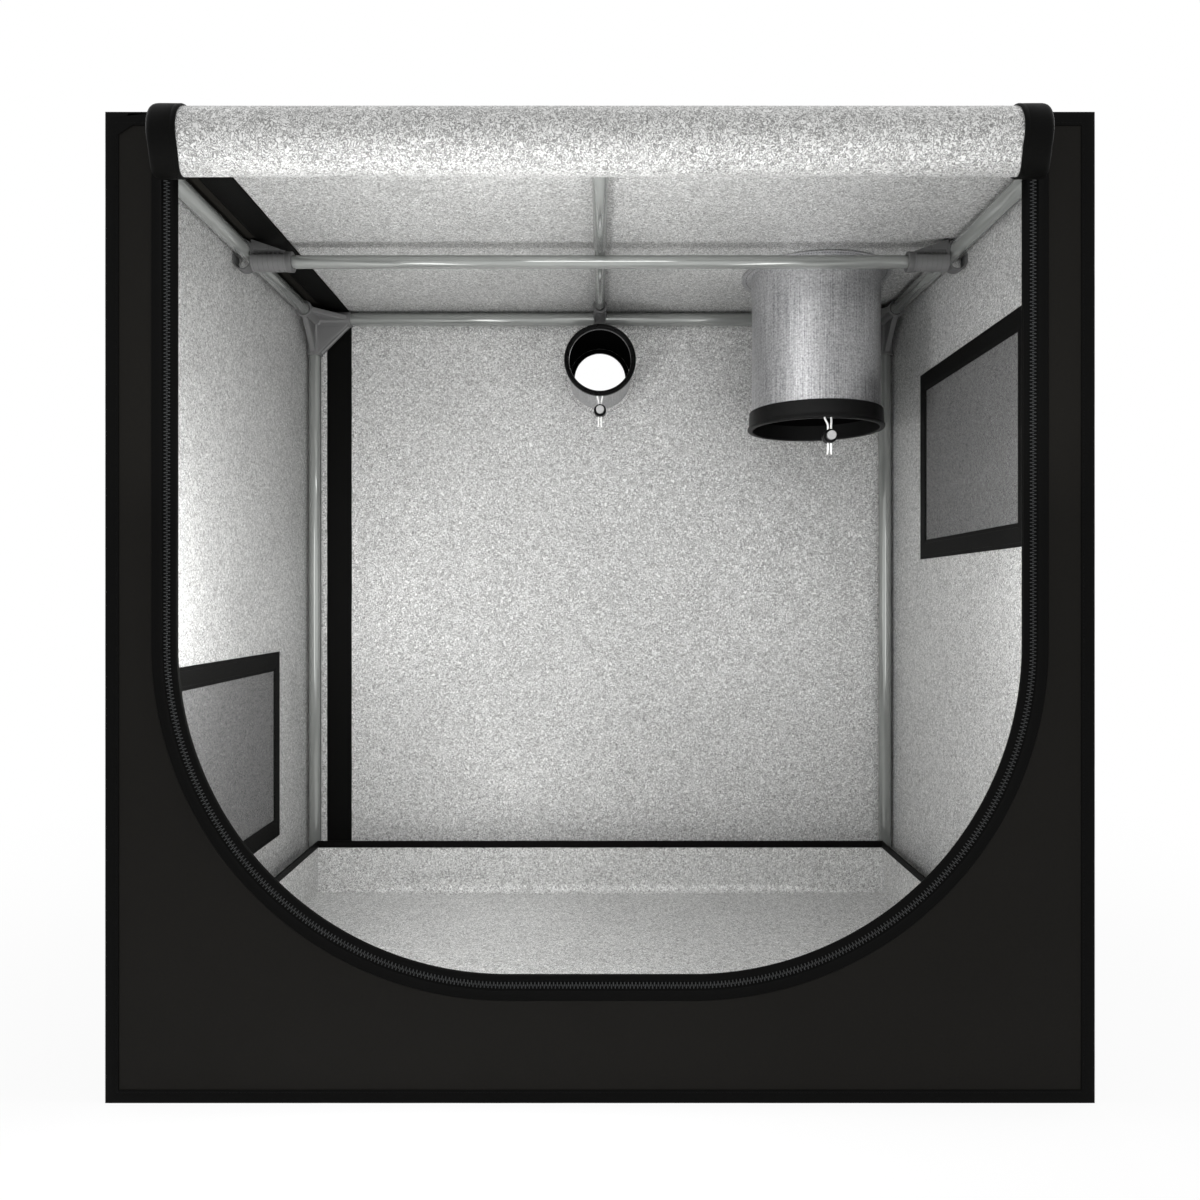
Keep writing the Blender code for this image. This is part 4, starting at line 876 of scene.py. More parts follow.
def opening_path(offset, top, step):
    """Return places and ways out along a line that is an offset outside the door opening's edge."""
    half, reach = OPENING_HALF, OPENING_RADIUS + offset
    centre_x, centre_z = half - OPENING_RADIUS, OPENING_LOW + OPENING_RADIUS
    count = max(OPENING_SEGMENTS, round(OPENING_RADIUS * math.pi / 2 / step))

    def corner(x, start):
        turns = [start + math.pi / 2 * index / count for index in range(1, count + 1)]
        ways = [(math.cos(turn), math.sin(turn)) for turn in turns]
        return [(x + reach * out_x, centre_z + reach * out_z, out_x, out_z) for out_x, out_z in ways]

    heights = spread(centre_z, top, step)
    path = [(-half - offset, z, -1.0, 0.0) for z in reversed(heights)]
    path += corner(-centre_x, math.pi)
    path += [(x, OPENING_LOW - offset, 0.0, -1.0) for x in spread(-centre_x, centre_x, step)[1:]]
    path += corner(centre_x, math.pi * 1.5)
    return path + [(half + offset, z, 1.0, 0.0) for z in heights[1:]]


def open_mesh(piece, kind, chosen):
    """Start to edit a piece, with those of its edges or corners selected that a test picks."""
    only(piece)
    bpy.ops.object.mode_set(mode="EDIT")
    bpy.ops.mesh.select_mode(type=kind)
    bpy.ops.mesh.select_all(action="DESELECT")
    shape = bmesh.from_edit_mesh(piece.data)
    for part in shape.verts if kind == "VERT" else shape.edges:
        part.select_set(chosen(part))
    bmesh.update_edit_mesh(piece.data)


def opening_cutter():
    """Model the block that cuts the door opening: a rectangle with its lower corners rounded."""
    tall = OPENING_TOP - OPENING_LOW
    bpy.ops.mesh.primitive_plane_add(size=1, rotation=(math.pi / 2, 0, 0))
    cutter = bpy.context.object
    cutter.dimensions = (2 * OPENING_HALF, tall, 0)
    cutter.location = (0, TENT_FRONT - 0.05, OPENING_LOW + tall / 2)
    bpy.ops.object.transform_apply(location=True, rotation=True, scale=True)
    open_mesh(cutter, "VERT", lambda vert: vert.co.z < OPENING_LOW + tall / 2)
    bpy.ops.mesh.bevel(offset=OPENING_RADIUS, segments=OPENING_SEGMENTS, affect="VERTICES")
    return extrude(cutter, (0, 0.2, 0))


def add_panel(name, thin, plane, sign, low, high, slack=1.0, marks=()):
    """Cut one flat panel from cloth, black outside and silver inside, and draw it over the frame."""
    across, up = [axis for axis in range(3) if axis != thin]
    first = spread(low[across], high[across], CLOTH_STEP, marks)
    second = spread(low[up], high[up], CLOTH_STEP)
    direction = [0, 0, 0]
    direction[thin] = sign
    rows = panel_rows(thin, plane, sign, first, second, slack)
    return add_cloth(name, rows, black_cloth, silver, WALL_CLOTH, facing(direction))


def window_cutter(side, grow):
    """Model the block that cuts a vent's window, a little larger than the open net."""
    net_low, net_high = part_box(f"vent_net_{side}")
    return box_between(net_low - Vector((0.02, grow, grow)), net_high + Vector((0.02, grow, grow)))


def cut_round(cloth, middle, way, radius, sides):
    """Cut a round hole through a cloth at a place."""
    return merge(cloth, [add_round_bar(middle - way, middle + way, radius, sides)], "DIFFERENCE")


HOLE_REACH = 0.02
PORT_HOLE_RADIUS = 0.039
DUCT_HOLE_RADIUS = 0.086
PANEL_CORNERS = (-TENT_HALF, 0, 0), (TENT_HALF, 0, TENT_TOP)
front_cloth = add_panel("front_panel_cloth", 1, TENT_FRONT, -1, *PANEL_CORNERS, 0.6)
merge(front_cloth, [opening_cutter()], "DIFFERENCE")
settle(front_cloth, "tent", "cover_black", None, "front_panel")

back_cloth = add_panel("back_panel_cloth", 1, TENT_BACK, 1, *PANEL_CORNERS, 0.6)
port_middle = middle_of("port_sleeve")
cut_round(back_cloth, Vector((port_middle.x, TENT_BACK, port_middle.z)), Y * HOLE_REACH, PORT_HOLE_RADIUS, 64)
settle(back_cloth, "tent", "cover_black", None, "back_panel")

add_binding("front_binding", TENT_FRONT, -1, "front_panel")
add_binding("back_binding", TENT_BACK, 1, "back_panel")

for side, sign in HANDS:
    wall_low, wall_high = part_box(f"{side}_wall")
    wall = add_panel(f"{side}_wall_cloth", 0, sign * TENT_HALF, sign, wall_low, wall_high)
    merge(wall, [window_cutter(side, 0.0003)], "DIFFERENCE")
    settle(wall, "tent", "cover_black", None, f"{side}_wall")

roof_low, roof_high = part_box("roof_panel")
strip_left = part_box("seam_strip")[0].x
roof = add_panel("roof_cloth", 2, TENT_TOP, 1, roof_low, roof_high, marks=(strip_left,))
for face in roof.data.polygons:
    if face.center.x < strip_left:
        face.material_index = 0
sock_middle = middle_of("duct_sock")
cut_round(roof, Vector((sock_middle.x, sock_middle.y, TENT_TOP)), Z * HOLE_REACH, DUCT_HOLE_RADIUS, 96)
settle(roof, "tent", "cover_black", None, "roof_panel")
floor_cloth = add_panel("floor_cloth", 2, 0.0, -1, *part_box("floor_panel"), -0.6)
settle(floor_cloth, "tent", "cover_black", None, "floor_panel")


# Seam strip. A black tape 38 mm wide, sewn along the roof and down the back wall inside, where the
# two halves of the lining meet. Its edges are sewn down with one row of stitches each.
STRIP_LIFT = 0.0006


def add_strip():
    """Sew the strip along the roof and down the back wall as one ribbon."""
    low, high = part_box("seam_strip")
    roof_z, wall_y = high.z - STRIP_LIFT, high.y - STRIP_LIFT
    run = [(y, roof_z) for y in spread(low.y, wall_y - 0.001, CLOTH_STEP)]
    run += [(wall_y - 0.0003, roof_z - 0.0003)]
    run += [(wall_y, z) for z in reversed(spread(low.z, roof_z - 0.001, CLOTH_STEP))]
    insets = (0, 0.0006, 0.004)
    edges = [low.x + inset for inset in insets] + [(low.x + high.x) / 2]
    edges += [high.x - inset for inset in reversed(insets)]
    rise = (0.0004, 0.0, -0.0001, 0.0, -0.0001, 0.0, 0.0004)
    rows = []
    for y, z in run:
        along_roof = z > roof_z - 0.0005
        row = []
        for x, lift in zip(edges, rise):
            wave = 0.0003 * noise.noise(Vector((x * 9, y * 30, z * 30)))
            back = Z if along_roof else Y
            row.append(Vector((x + wave, y, z)) + back * lift)
        rows.append(row)

    def outward(place):
        return -Z if place.z > roof_z - 0.001 else -Y

    strip = add_cloth("seam_strip_tape", rows, black_tape, None, 0.0005, outward)
    settle(strip, "tent", "trim_black", None, "seam_strip")
    for index, x in enumerate((low.x + 0.0025, high.x - 0.0025)):
        path = [Vector((x, y, z)) for y, z in run]
        add_stitches(f"seam_strip_stitches_{index}", path, outward, "tent", "seam_strip")


add_strip()


# Zip. Woven tape sewn round the opening carries two rows of nylon coil that interlock. A slider
# waits at each end of the zip, behind the rolled door, with its pull hanging from a pin.
COIL_OFFSET = 0.0088
COIL_PITCH = 0.0034
COIL_WIDTH = 0.00095
COIL_RISE = 0.0015
COIL_SECTION = ((-0.5, 0.0), (-0.5, 0.55), (-0.3, 0.9), (0.3, 0.9), (0.5, 0.55), (0.5, 0.0))
COIL_STATIONS = ((-0.0008, 0.5), (-0.0005, 0.9), (0.0023, 1.0), (0.0030, 0.55))
TAPE_PROFILE = (
    (0.0000, -0.0012), (-0.0005, 0.0002), (0.0002, 0.0011), (0.0016, 0.0014), (0.0034, 0.0013),
    (0.0046, 0.0013), (0.0053, 0.0009), (0.0124, 0.0009), (0.0130, 0.0014), (0.0137, 0.0017),
    (0.0145, 0.0013), (0.0190, 0.0012), (0.0222, 0.0012), (0.0230, 0.0003),
)


def zip_place(station, offset, rise):
    """Return a point beside the zip's path, an offset out from it and a rise off the front panel."""
    x, z, out_x, out_z = station
    return Vector((x + out_x * offset, TENT_FRONT - rise, z + out_z * offset))


def add_zip():
    """Sew the tape and its coil round the opening."""
    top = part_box("zip_track")[1].z
    stations = opening_path(0, top, 0.008)
    rows = [[zip_place(station, offset, rise) for offset, rise in TAPE_PROFILE] for station in stations]
    tape = add_cloth("zip_tape", rows, black_tape, None, 0.0005, facing(-Y))
    settle(tape, "tent", "trim_black", None, "zip_track")
    for name, offset in (("inner", 0.0030), ("outer", 0.0205)):
        path = [zip_place(station, offset, 0.0013) for station in stations]
        add_stitches(f"zip_stitches_{name}", path, facing(-Y), "tent", "zip_track")
    shape = bmesh.new()
    middle = opening_path(COIL_OFFSET, top - 0.004, 0.004)
    distance, wanted, side = 0.0, COIL_PITCH / 4, 1
    for start, end in zip(middle, middle[1:]):
        first, second = Vector((start[0], 0, start[1])), Vector((end[0], 0, end[1]))
        span = (second - first).length
        while span and wanted <= distance + span:
            share = (wanted - distance) / span
            place = first.lerp(second, share) + Vector((0, TENT_FRONT - 0.0009, 0))
            out = Vector((start[2], 0, start[3])).lerp(Vector((end[2], 0, end[3])), share).normalized()
            add_coil_turn(shape, place, out * side)
            wanted += COIL_PITCH / 2
            side = -side
        distance += span
    bmesh.ops.recalc_face_normals(shape, faces=shape.faces)
    coil = new_piece("zip_coil", shape)
    smooth(coil)
    settle(coil, "tent", "zip_metal", coil_nylon, "zip_track")


def add_coil_turn(shape, place, out):
    """Add one turn of the coil, a low rounded bar that reaches past the middle from its own side."""
    along = out.cross(Y).normalized()
    rings = []
    for reach, scale in COIL_STATIONS:
        centre = place + out * reach
        wide = along * COIL_WIDTH * (0.6 + 0.4 * scale)
        tall = -Y * COIL_RISE * scale
        rings.append([shape.verts.new(centre + wide * across + tall * rise) for across, rise in COIL_SECTION])
    for near, far in zip(rings, rings[1:]):
        for index in range(len(COIL_SECTION) - 1):
            shape.faces.new((near[index], near[index + 1], far[index + 1], far[index]))
    shape.faces.new(rings[0])
    shape.faces.new(reversed(rings[-1]))


def zinc_material():
    """Make the black painted zinc of the sliders and pulls, bare where it is rubbed."""
    surface, tree, inputs, place = new_material("black_zinc", 0.34, 0.6)
    patches = add_noise(tree, place, 300, 3)
    mixed = add_weighted(tree, add_edge_wear_and_highlight(tree, 0.52, 0.6), 0.9, patches, 0.25)
    colour = add_tint(tree, mixed, (0.018, 0.018, 0.019), (0.28, 0.27, 0.26))
    tree.links.new(colour, inputs["Base Color"])
    tree.links.new(add_ramp(tree, patches, 0.3, 0.7, 0.28, 0.42), inputs["Roughness"])
    return surface


COIL_TONES = (0.026, 0.028, 0.029), (0.054, 0.057, 0.058)
coil_nylon = solid_material("coil_nylon", 0.32, 0, (180, 2), COIL_TONES, None, (2500, 0.00003))
zinc = zinc_material()
add_zip()


def round_corners(block, offset, segments):
    """Round a block's edges that run along Y."""
    open_mesh(block, "EDGE", lambda edge: abs(edge.verts[0].co.y - edge.verts[1].co.y) > 0.001)
    bpy.ops.mesh.bevel(offset=offset, segments=segments, affect="EDGES")
    bpy.ops.object.mode_set(mode="OBJECT")


def slider_body():
    """Model a slider round its pin: a boat-shaped body with a channel for the coil, and two ears."""
    body = add_block((0.0110, 0.0047, 0.0140), (0, 0.00445, 0))
    round_corners(body, 0.0024, 4)
    round_edges(body, 0.0005, 3)
    channel = add_block((0.0066, 0.0040, 0.0200), (0, 0.0074, 0))
    ears = []
    for sign in (-1, 1):
        x = sign * 0.0028
        ear = add_round_bar((x - 0.0006, 0, 0), (x + 0.0006, 0, 0), 0.0020, 24)
        foot = add_block((0.0012, 0.0026, 0.0040), (x, 0.0013, 0))
        ears += [ear, foot]
    pin = add_round_bar((-0.0036, 0, 0), (0.0036, 0, 0), 0.0008, 20)
    merge(body, [*ears, pin])
    return merge(body, [channel], "DIFFERENCE")


def pull_tab():
    """Model a pull: a barrel on the pin, a neck and a ridged tab with a hole in its end."""
    barrel = add_round_bar((-0.0021, 0, 0), (0.0021, 0, 0), 0.0018, 24)
    neck = add_block((0.0034, 0.0012, 0.0050), (0, 0, -0.0034))
    tab = add_block((0.0062, 0.0012, 0.0150), (0, 0, -0.0135))
    round_corners(tab, 0.0022, 5)
    round_edges(tab, 0.0003, 2)
    ridges = [add_block((0.0042, 0.0016, 0.0006), (0, 0, -0.0085 - 0.0016 * index)) for index in range(4)]
    merge(barrel, [neck, tab, *ridges])
    bore = add_round_bar((-0.003, 0, 0), (0.003, 0, 0), 0.0011, 24)
    hole = add_round_bar((0, -0.002, -0.0178), (0, 0.002, -0.0178), 0.0013, 24)
    return merge(barrel, [bore, hole], "DIFFERENCE")


def add_sliders():
    """Park a slider and its pull at each end of the zip."""
    body, tab = slider_body(), pull_tab()
    for side, _ in HANDS:
        low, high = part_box(f"zip_slider_{side}")
        pin = Vector(((low.x + high.x) / 2, high.y - 0.0068, (low.z + high.z) / 2))
        slider = copy_mirrored(body, f"zip_slider_{side}_body", pin)
        settle(slider, f"zip_slider_{side}", "zip_metal", zinc, f"zip_slider_{side}")
        pull = copy_mirrored(tab, f"zip_pull_{side}_tab", pin)
        settle(pull, f"zip_pull_{side}", "zip_metal", zinc, f"zip_pull_{side}")
    bpy.data.objects.remove(body)
    bpy.data.objects.remove(tab)


add_sliders()


# Door. One sheet of the cover cloth, silver on the outside of the roll, wound forward on itself and
# parked over the opening. Black zip edging is sewn along both its sides and makes the roll's dark ends.
DOOR_SEAM = Vector((0, -0.3013, 0.8893))
DOOR_LENGTH = 0.7728
DOOR_CORE = 0.0059
DOOR_PITCH = 0.0033
DOOR_RADIUS = math.sqrt(DOOR_CORE**2 + DOOR_LENGTH * DOOR_PITCH / math.pi)
DOOR_CENTRE = Vector((0, TENT_FRONT - DOOR_RADIUS - 0.0029, DOOR_SEAM.z - DOOR_RADIUS * 0.99))
DOOR_FIRST_STRIP = 0.003
DOOR_STEPS = 72
DOOR_START_SHARES = (0, 0.25, 0.5, 0.75)
DOOR_WAVE = 0.00012
EDGING_START = 12
EDGING_END = 0.010
DOOR_FREE = 0.030
DOOR_FLARE = 0.009
DOOR_FLARE_ANGLE = math.radians(61)
EDGING_PROFILE = (
    (0.0250, 0.0006), (0.0250, 0.0017), (0.0246, 0.0022), (0.0238, 0.0025), (0.0215, 0.00245),
    (0.0208, 0.0022), (0.0200, 0.00245), (0.0120, 0.0025), (0.0050, 0.0025), (0.0028, 0.0023),
    (0.0012, 0.0018), (0.0002, 0.0011), (-0.0001, 0.0006),
)


def door_stations():
    """Return the door's path into the roll: each place, the way out of the roll and the height left."""
    to_seam = DOOR_SEAM - DOOR_CENTRE
    distance = to_seam.length
    first = math.atan2(to_seam.z, to_seam.y) - math.acos(DOOR_RADIUS / distance)
    straight = math.sqrt(distance**2 - DOOR_RADIUS**2)
    wound = DOOR_LENGTH - straight - DOOR_FIRST_STRIP
    growth = DOOR_PITCH / math.tau
    end = (DOOR_RADIUS - math.sqrt(DOOR_RADIUS**2 - 2 * growth * wound)) / growth
    steps = math.ceil(end * DOOR_STEPS / math.tau)
    out = Vector((0, math.cos(first), math.sin(first)))
    stations = []
    for share in DOOR_START_SHARES:
        place = DOOR_SEAM.lerp(DOOR_CENTRE + out * DOOR_RADIUS, share)
        stations.append((place, out, DOOR_LENGTH - straight * share))
    for step in range(steps + 1):
        turned = end * step / steps
        used = DOOR_RADIUS * turned - growth * turned**2 / 2
        out = Vector((0, math.cos(first - turned), math.sin(first - turned)))
        place = DOOR_CENTRE + out * (DOOR_RADIUS - growth * turned)
        stations.append((place, out, DOOR_LENGTH - straight - used))
    return stations


def door_half(height):
    """Return half the door's width at a height above its bottom edge, flared at the roll's foot."""
    turned = (DOOR_LENGTH - height - DOOR_FREE) / DOOR_RADIUS
    if turned < math.tau:
        return OPENING_HALF + DOOR_FLARE * max(0, math.cos(turned - DOOR_FLARE_ANGLE)) ** 2 * (turned > -0.5)
    if height >= OPENING_RADIUS:
        return OPENING_HALF
    rest = OPENING_RADIUS**2 - (OPENING_RADIUS - height) ** 2
    return OPENING_HALF - OPENING_RADIUS + math.sqrt(max(rest, 0))


def add_door():
    """Wind the door's cloth and its edging."""
    stations = door_stations()
    shares = [index / 12 for index in range(-12, 13)]
    rows = []
    for place, out, height in stations:
        half = door_half(height) - 0.0006
        row = []
        for share in shares:
            wave = DOOR_WAVE * noise.noise(Vector((share * 4.5, height * 7, 2.2)))
            row.append(place + Vector((half * share, 0, 0)) + out * (0.0005 + wave))
        rows.append(row)
    first = stations[0][1]
    cloth = add_cloth("door_cloth", rows, silver, black_cloth, 0.0010, lambda place: first)
    settle(cloth, "door", "lining_silver", None, "door_roll")
    start = len(DOOR_START_SHARES) + round(DOOR_STEPS * EDGING_START / 360)
    for side, sign in HANDS:
        rings = []
        for place, out, height in stations[start:]:
            if height < EDGING_END:
                break
            half = door_half(height)
            ring = []
            for inward, level in EDGING_PROFILE:
                crease = 0.00010 * (level > 0.002)
                pucker = crease * noise.noise(Vector((sign * 3, height * 60, inward * 40)))
                ring.append(place + Vector((sign * (half - inward), 0, 0)) + out * (level + pucker))
            rings.append(ring)
        add_edging(f"door_edging_{side}", rings)


def add_edging(name, rings):
    """Close a strip of edging from its rings, with both ends capped."""
    shape = bmesh.new()
    verts = [[shape.verts.new(point) for point in ring] for ring in rings]
    count = len(rings[0])
    for near, far in zip(verts, verts[1:]):
        for index in range(count):
            after = (index + 1) % count
            shape.faces.new((near[index], near[after], far[after], far[index])).smooth = True
    shape.faces.new(verts[0])
    shape.faces.new(reversed(verts[-1]))
    bmesh.ops.recalc_face_normals(shape, faces=shape.faces)
    edging = new_piece(name, shape)
    smooth(edging)
    return settle(edging, "door", "trim_black", black_tape, "door_edging")


add_door()


# Vents. Each side wall has a window with a sewn black frame, a fine dark net and, outside, a flap
# of cover cloth hinged on its top seam, which closes the window against light.
FRAME_SIDE = 0.022
FRAME_END = 0.026
FRAME_PROFILE = ((0.0, 0.0), (0.03, 0.0004), (0.10, 0.0006), (0.90, 0.0006), (0.97, 0.0004), (1.0, 0.0))
FLAP_HEM_STOPS = (0.0005, 0.011)


def net_material():
    """Make the vent net: fine dark threads with open holes between them."""
    surface, tree, inputs, place = new_material("vent_net", 0.6)
    inputs["Specular IOR Level"].default_value = 0.2
    weave = add_weave(tree, place, 620)
    tree.links.new(add_ramp(tree, weave["Height"], 0.30, 0.62, 1, 0.35), inputs["Alpha"])
    tree.links.new(add_tint(tree, weave["Shade"], (0.07,) * 3, (0.13,) * 3), inputs["Base Color"])
    return surface


def corners_inside(low, high, x, y_inset, z_inset):
    """Return the corners of a rectangle on a side wall, inset from a box."""
    near, far, foot, head = low.y + y_inset, high.y - y_inset, low.z + z_inset, high.z - z_inset
    return [Vector((x, y, z)) for y, z in ((near, foot), (far, foot), (far, head), (near, head))]


def walk_round(corners, counts):
    """Return points round a loop of straight sides, with so many steps to each side."""
    points = []
    for start, end, count in zip(corners, corners[1:] + corners[:1], counts):
        points += [start.lerp(end, index / count) for index in range(count)]
    return points


def mitred_frame(low, high, plane, sign, name, node):
    """Sew a flat frame round a window, each side cut to a mitre."""
    rows = []
    for share, rise in FRAME_PROFILE:
        corners = corners_inside(low, high, plane - sign * rise, FRAME_SIDE * share, FRAME_END * share)
        rows.append(walk_round(corners, (32, 26, 32, 26)))
    frame_cloth = add_cloth(name, rows, black_tape, None, 0.0004, facing(-X * sign), closed=True)
    return settle(frame_cloth, "tent", "cover_black", None, node)


def add_vents():
    """Sew both vents."""
    for side, sign in HANDS:
        node = f"vent_frame_{side}"
        low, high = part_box(node)
        plane = high.x - 0.0001 if sign > 0 else low.x + 0.0001
        mitred_frame(low, high, plane, sign, f"{node}_cloth", node)
        for name, inset in (("outer", 0.004), ("inner", 0.018)):
            path = corners_inside(low, high, plane - sign * 0.0006, inset, inset * FRAME_END / FRAME_SIDE)
            add_stitches(f"vent_stitches_{side}_{name}", path, facing(-X * sign), "tent", node, closed=True)
        net_low, net_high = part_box(f"vent_net_{side}")
        ys, zs = spread(net_low.y, net_high.y, 0.02), spread(net_low.z, net_high.z, 0.02)
        rows = panel_rows(0, (net_low.x + net_high.x) / 2, sign, ys, zs, 0.2)
        net = add_cloth(f"vent_net_{side}_mesh", rows, vent_net, None, 0.0004, facing(X * sign))
        settle(net, "tent", "vent_net", None, f"vent_net_{side}")
        add_flap(side, sign)


def add_flap(side, sign):
    """Hang a vent's outer flap from its top seam, with its edge turned and sewn."""
    node = f"vent_flap_{side}"
    low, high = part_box(node)
    outer = high.x if sign > 0 else low.x

    def places(start, end):
        stops = [start + stop for stop in FLAP_HEM_STOPS] + [end - stop for stop in FLAP_HEM_STOPS]
        return spread(start, end, CLOTH_STEP, stops)

    ys, zs = places(low.y, high.y), places(low.z, high.z)
    rows = []
    for z in zs:
        row = []
        for y in ys:
            edge = min(y - low.y, high.y - y, z - low.z, high.z - z)
            rise = 0.0006 if edge < 0.0108 else 0.0
            eased = ease_in(y, low.y, high.y, 0.04) * ease_in(z, low.z, high.z, 0.04)
            row.append(Vector((outer + sign * (rise + 0.6 * slack_at(y, z) * eased), y, z)))
        rows.append(row)
    flap = add_cloth(f"{node}_cloth", rows, black_cloth, silver, 0.0010, facing(X * sign))
    settle(flap, node, "cover_black", None, node)
    path = corners_inside(low, high, outer + sign * 0.0006, 0.009, 0.009)
    add_stitches(f"{node}_stitches", path, facing(X * sign), node, node, closed=True)


vent_net = net_material()
add_vents()


# Exhaust collar. A sleeve of silver foil cloth, 174 mm across, sewn into the roof by its flange and
# hanging down inside. Its mouth is a puffy black hem that holds the drawcord.
SOCK_RADIUS = 0.087
SOCK_SEGMENTS = 144
SOCK_FLANGE = 0.013
SOCK_STARTS = ((SOCK_FLANGE, 0), (0.0015, 0), (0.0003, 0.0006))
SOCK_STEPS = 40
SOCK_WAIST = 0.0015
SOCK_RIPPLE = 0.0004
FLANGE_LIFT = 0.0010
HEM_GATHER = 0.00022
HEM_MIDDLE = 0.0873
SOCK_HEM_LOW = 0.6904
SOCK_HEM_TOP = 0.7154
SOCK_HEM_PROFILE = (
    (0.0873, 0.080), (0.0876, 0.022), (0.0884, 0.0), (0.0893, 0.018), (0.0897, 0.073), (0.0895, 0.124),
    (0.0896, 0.182), (0.0900, 0.364), (0.0900, 0.618), (0.0900, 0.700), (0.0904, 0.771), (0.0916, 0.829),
    (0.0921, 0.891), (0.0918, 0.960), (0.0904, 1.000), (0.0866, 1.004), (0.0852, 0.989), (0.0848, 0.953),
    (0.0851, 0.873), (0.0853, 0.436), (0.0853, 0.145),
)


def foil_material():
    """Make the foil cloth of the collars: rolled aluminium, streaked along the sleeve."""
    surface, tree, inputs, place = new_material("foil_sleeve", 0.34, 0.75)
    around = add_node(tree, "ShaderNodeUVMap", {}, "UV", uv_map="around")
    stretch = add_node(tree, "ShaderNodeMapping", {"Vector": around, "Scale": (900, 9, 1)})
    streaks = add_noise(tree, stretch, 1, 4)
    cross = add_node(tree, "ShaderNodeMapping", {"Vector": around, "Scale": (25, 1100, 1)})
    both = add_weighted(tree, streaks, 0.75, add_noise(tree, cross, 1, 2), 0.25)
    grain = add_weighted(tree, both, 0.6, add_noise(tree, place, 420, 1), 0.4)
    contrast = add_ramp(tree, grain, 0.36, 0.64, 0, 1)
    colour = add_tint(tree, contrast, (0.24, 0.24, 0.25), (0.72, 0.72, 0.73))
    tree.links.new(colour, inputs["Base Color"])
    tree.links.new(add_ramp(tree, streaks, 0.3, 0.7, 0.28, 0.42), inputs["Roughness"])
    add_bump(tree, both, 0.0005, inputs)
    return surface


def turned_rows(profile, centre, axis, side, segments):
    """Return rows of points, one ring for each radius and height of a profile about an axis."""
    other = axis.cross(side)
    rows = []
    for radius, height in profile:
        row = []
        for index in range(segments):
            angle = math.tau * index / segments
            row.append(centre + axis * height + (side * math.cos(angle) + other * math.sin(angle)) * radius)
        rows.append(row)
    return rows


def wrap_uv(piece, centre, axis, side):
    """Lay the piece's own map: metres round the axis, then metres along it."""
    other = axis.cross(side)
    layer = piece.data.uv_layers.new(name="around")
    for face in piece.data.polygons:
        angles = []
        for corner in face.loop_indices:
            place = piece.data.vertices[piece.data.loops[corner].vertex_index].co - centre
            angles.append(math.atan2(place.dot(other), place.dot(side)))
        for corner, angle in zip(face.loop_indices, angles):
            if max(angles) - angle > math.pi:
                angle += math.tau
            place = piece.data.vertices[piece.data.loops[corner].vertex_index].co - centre
            layer.data[corner].uv = (angle * SOCK_RADIUS, place.dot(axis))


def add_sock():
    """Sew the exhaust collar with its hem."""

    def level(place):
        return (place - centre) * Vector((1, 1, 0))

    low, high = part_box("duct_sock")
    centre = Vector((sock_middle.x, sock_middle.y, 0))
    top, end = high.z, SOCK_HEM_LOW + 0.0004
    lap = top - FLANGE_LIFT
    profile = [(SOCK_RADIUS + rise, lap - drop) for rise, drop in SOCK_STARTS]
    start = profile[-1][1]
    for index in range(1, SOCK_STEPS + 1):
        share = index / SOCK_STEPS
        waist = SOCK_WAIST * (1 - (2 * share - 1) ** 2)
        profile.append((SOCK_RADIUS - waist, start - (start - end) * share))
    rows = turned_rows(profile, centre, Z, X, SOCK_SEGMENTS)
    for row in rows[3:]:
        for index, point in enumerate(row):
            angle = math.tau * index / SOCK_SEGMENTS
            ripple = noise.noise(Vector((math.cos(angle) * 4, math.sin(angle) * 4, point.z * 3)))
            fade = min(1, (top - point.z) / 0.02) * min(1, max(0, (point.z - SOCK_HEM_TOP) / 0.02))
            point += level(point).normalized() * SOCK_RIPPLE * ripple * fade

    def outward(place):
        return level(place) if place.z < top - 0.002 else -Z

    # Inside, the sleeve has the near-black lining without gloss: painted shade.
    sleeve = add_cloth("duct_sock_sleeve", rows, foil, painted_shade_lining, 0.0008, outward, closed=True)
    wrap_uv(sleeve, centre, Z, X)
    settle(sleeve, "tent", "lining_silver", None, "duct_sock", "duct_sock_hem")
    ring = turned_rows([(SOCK_RADIUS + 0.007, lap)], centre, Z, X, 180)[0]
    add_stitches("duct_sock_stitches", ring, facing(-Z), "tent", "duct_sock", closed=True)
    tall = SOCK_HEM_TOP - SOCK_HEM_LOW
    hem_profile = [(radius, SOCK_HEM_TOP - tall * share) for radius, share in SOCK_HEM_PROFILE]
    rows = turned_rows(hem_profile, centre, Z, X, SOCK_SEGMENTS)
    for row, (radius, height) in zip(rows, hem_profile):
        for index, point in enumerate(row):
            angle = math.tau * index / SOCK_SEGMENTS
            gather = noise.noise(Vector((math.cos(angle) * 26, math.sin(angle) * 26, height * 60)))
            point += level(point).normalized() * HEM_GATHER * gather * (radius > 0.0880)

    def hem_out(place):
        flat = level(place)
        return flat.normalized() * (flat.length - HEM_MIDDLE) + Z * (place.z - SOCK_HEM_TOP + tall / 2)

    hem = add_cloth("duct_sock_hem_cloth", rows, hem_cloth, None, 0.0003, hem_out, closed=True)
    settle(hem, "tent", "trim_black", None, "duct_sock", "duct_sock_hem")


foil = foil_material()
# The collars' lining: near-black cloth without any gloss, standing in for the shade inside them: painted
# shade.
painted_shade_lining = woven_material("painted_shade_lining", (0.0010,) * 3, (0.0022,) * 3, 0.9, 2200, 0.00006, 0)
hem_cloth = woven_material("hem_cloth", (0.003,) * 3, (0.006,) * 3, 0.42, 2200, 0.00006, 0.16)
add_sock()
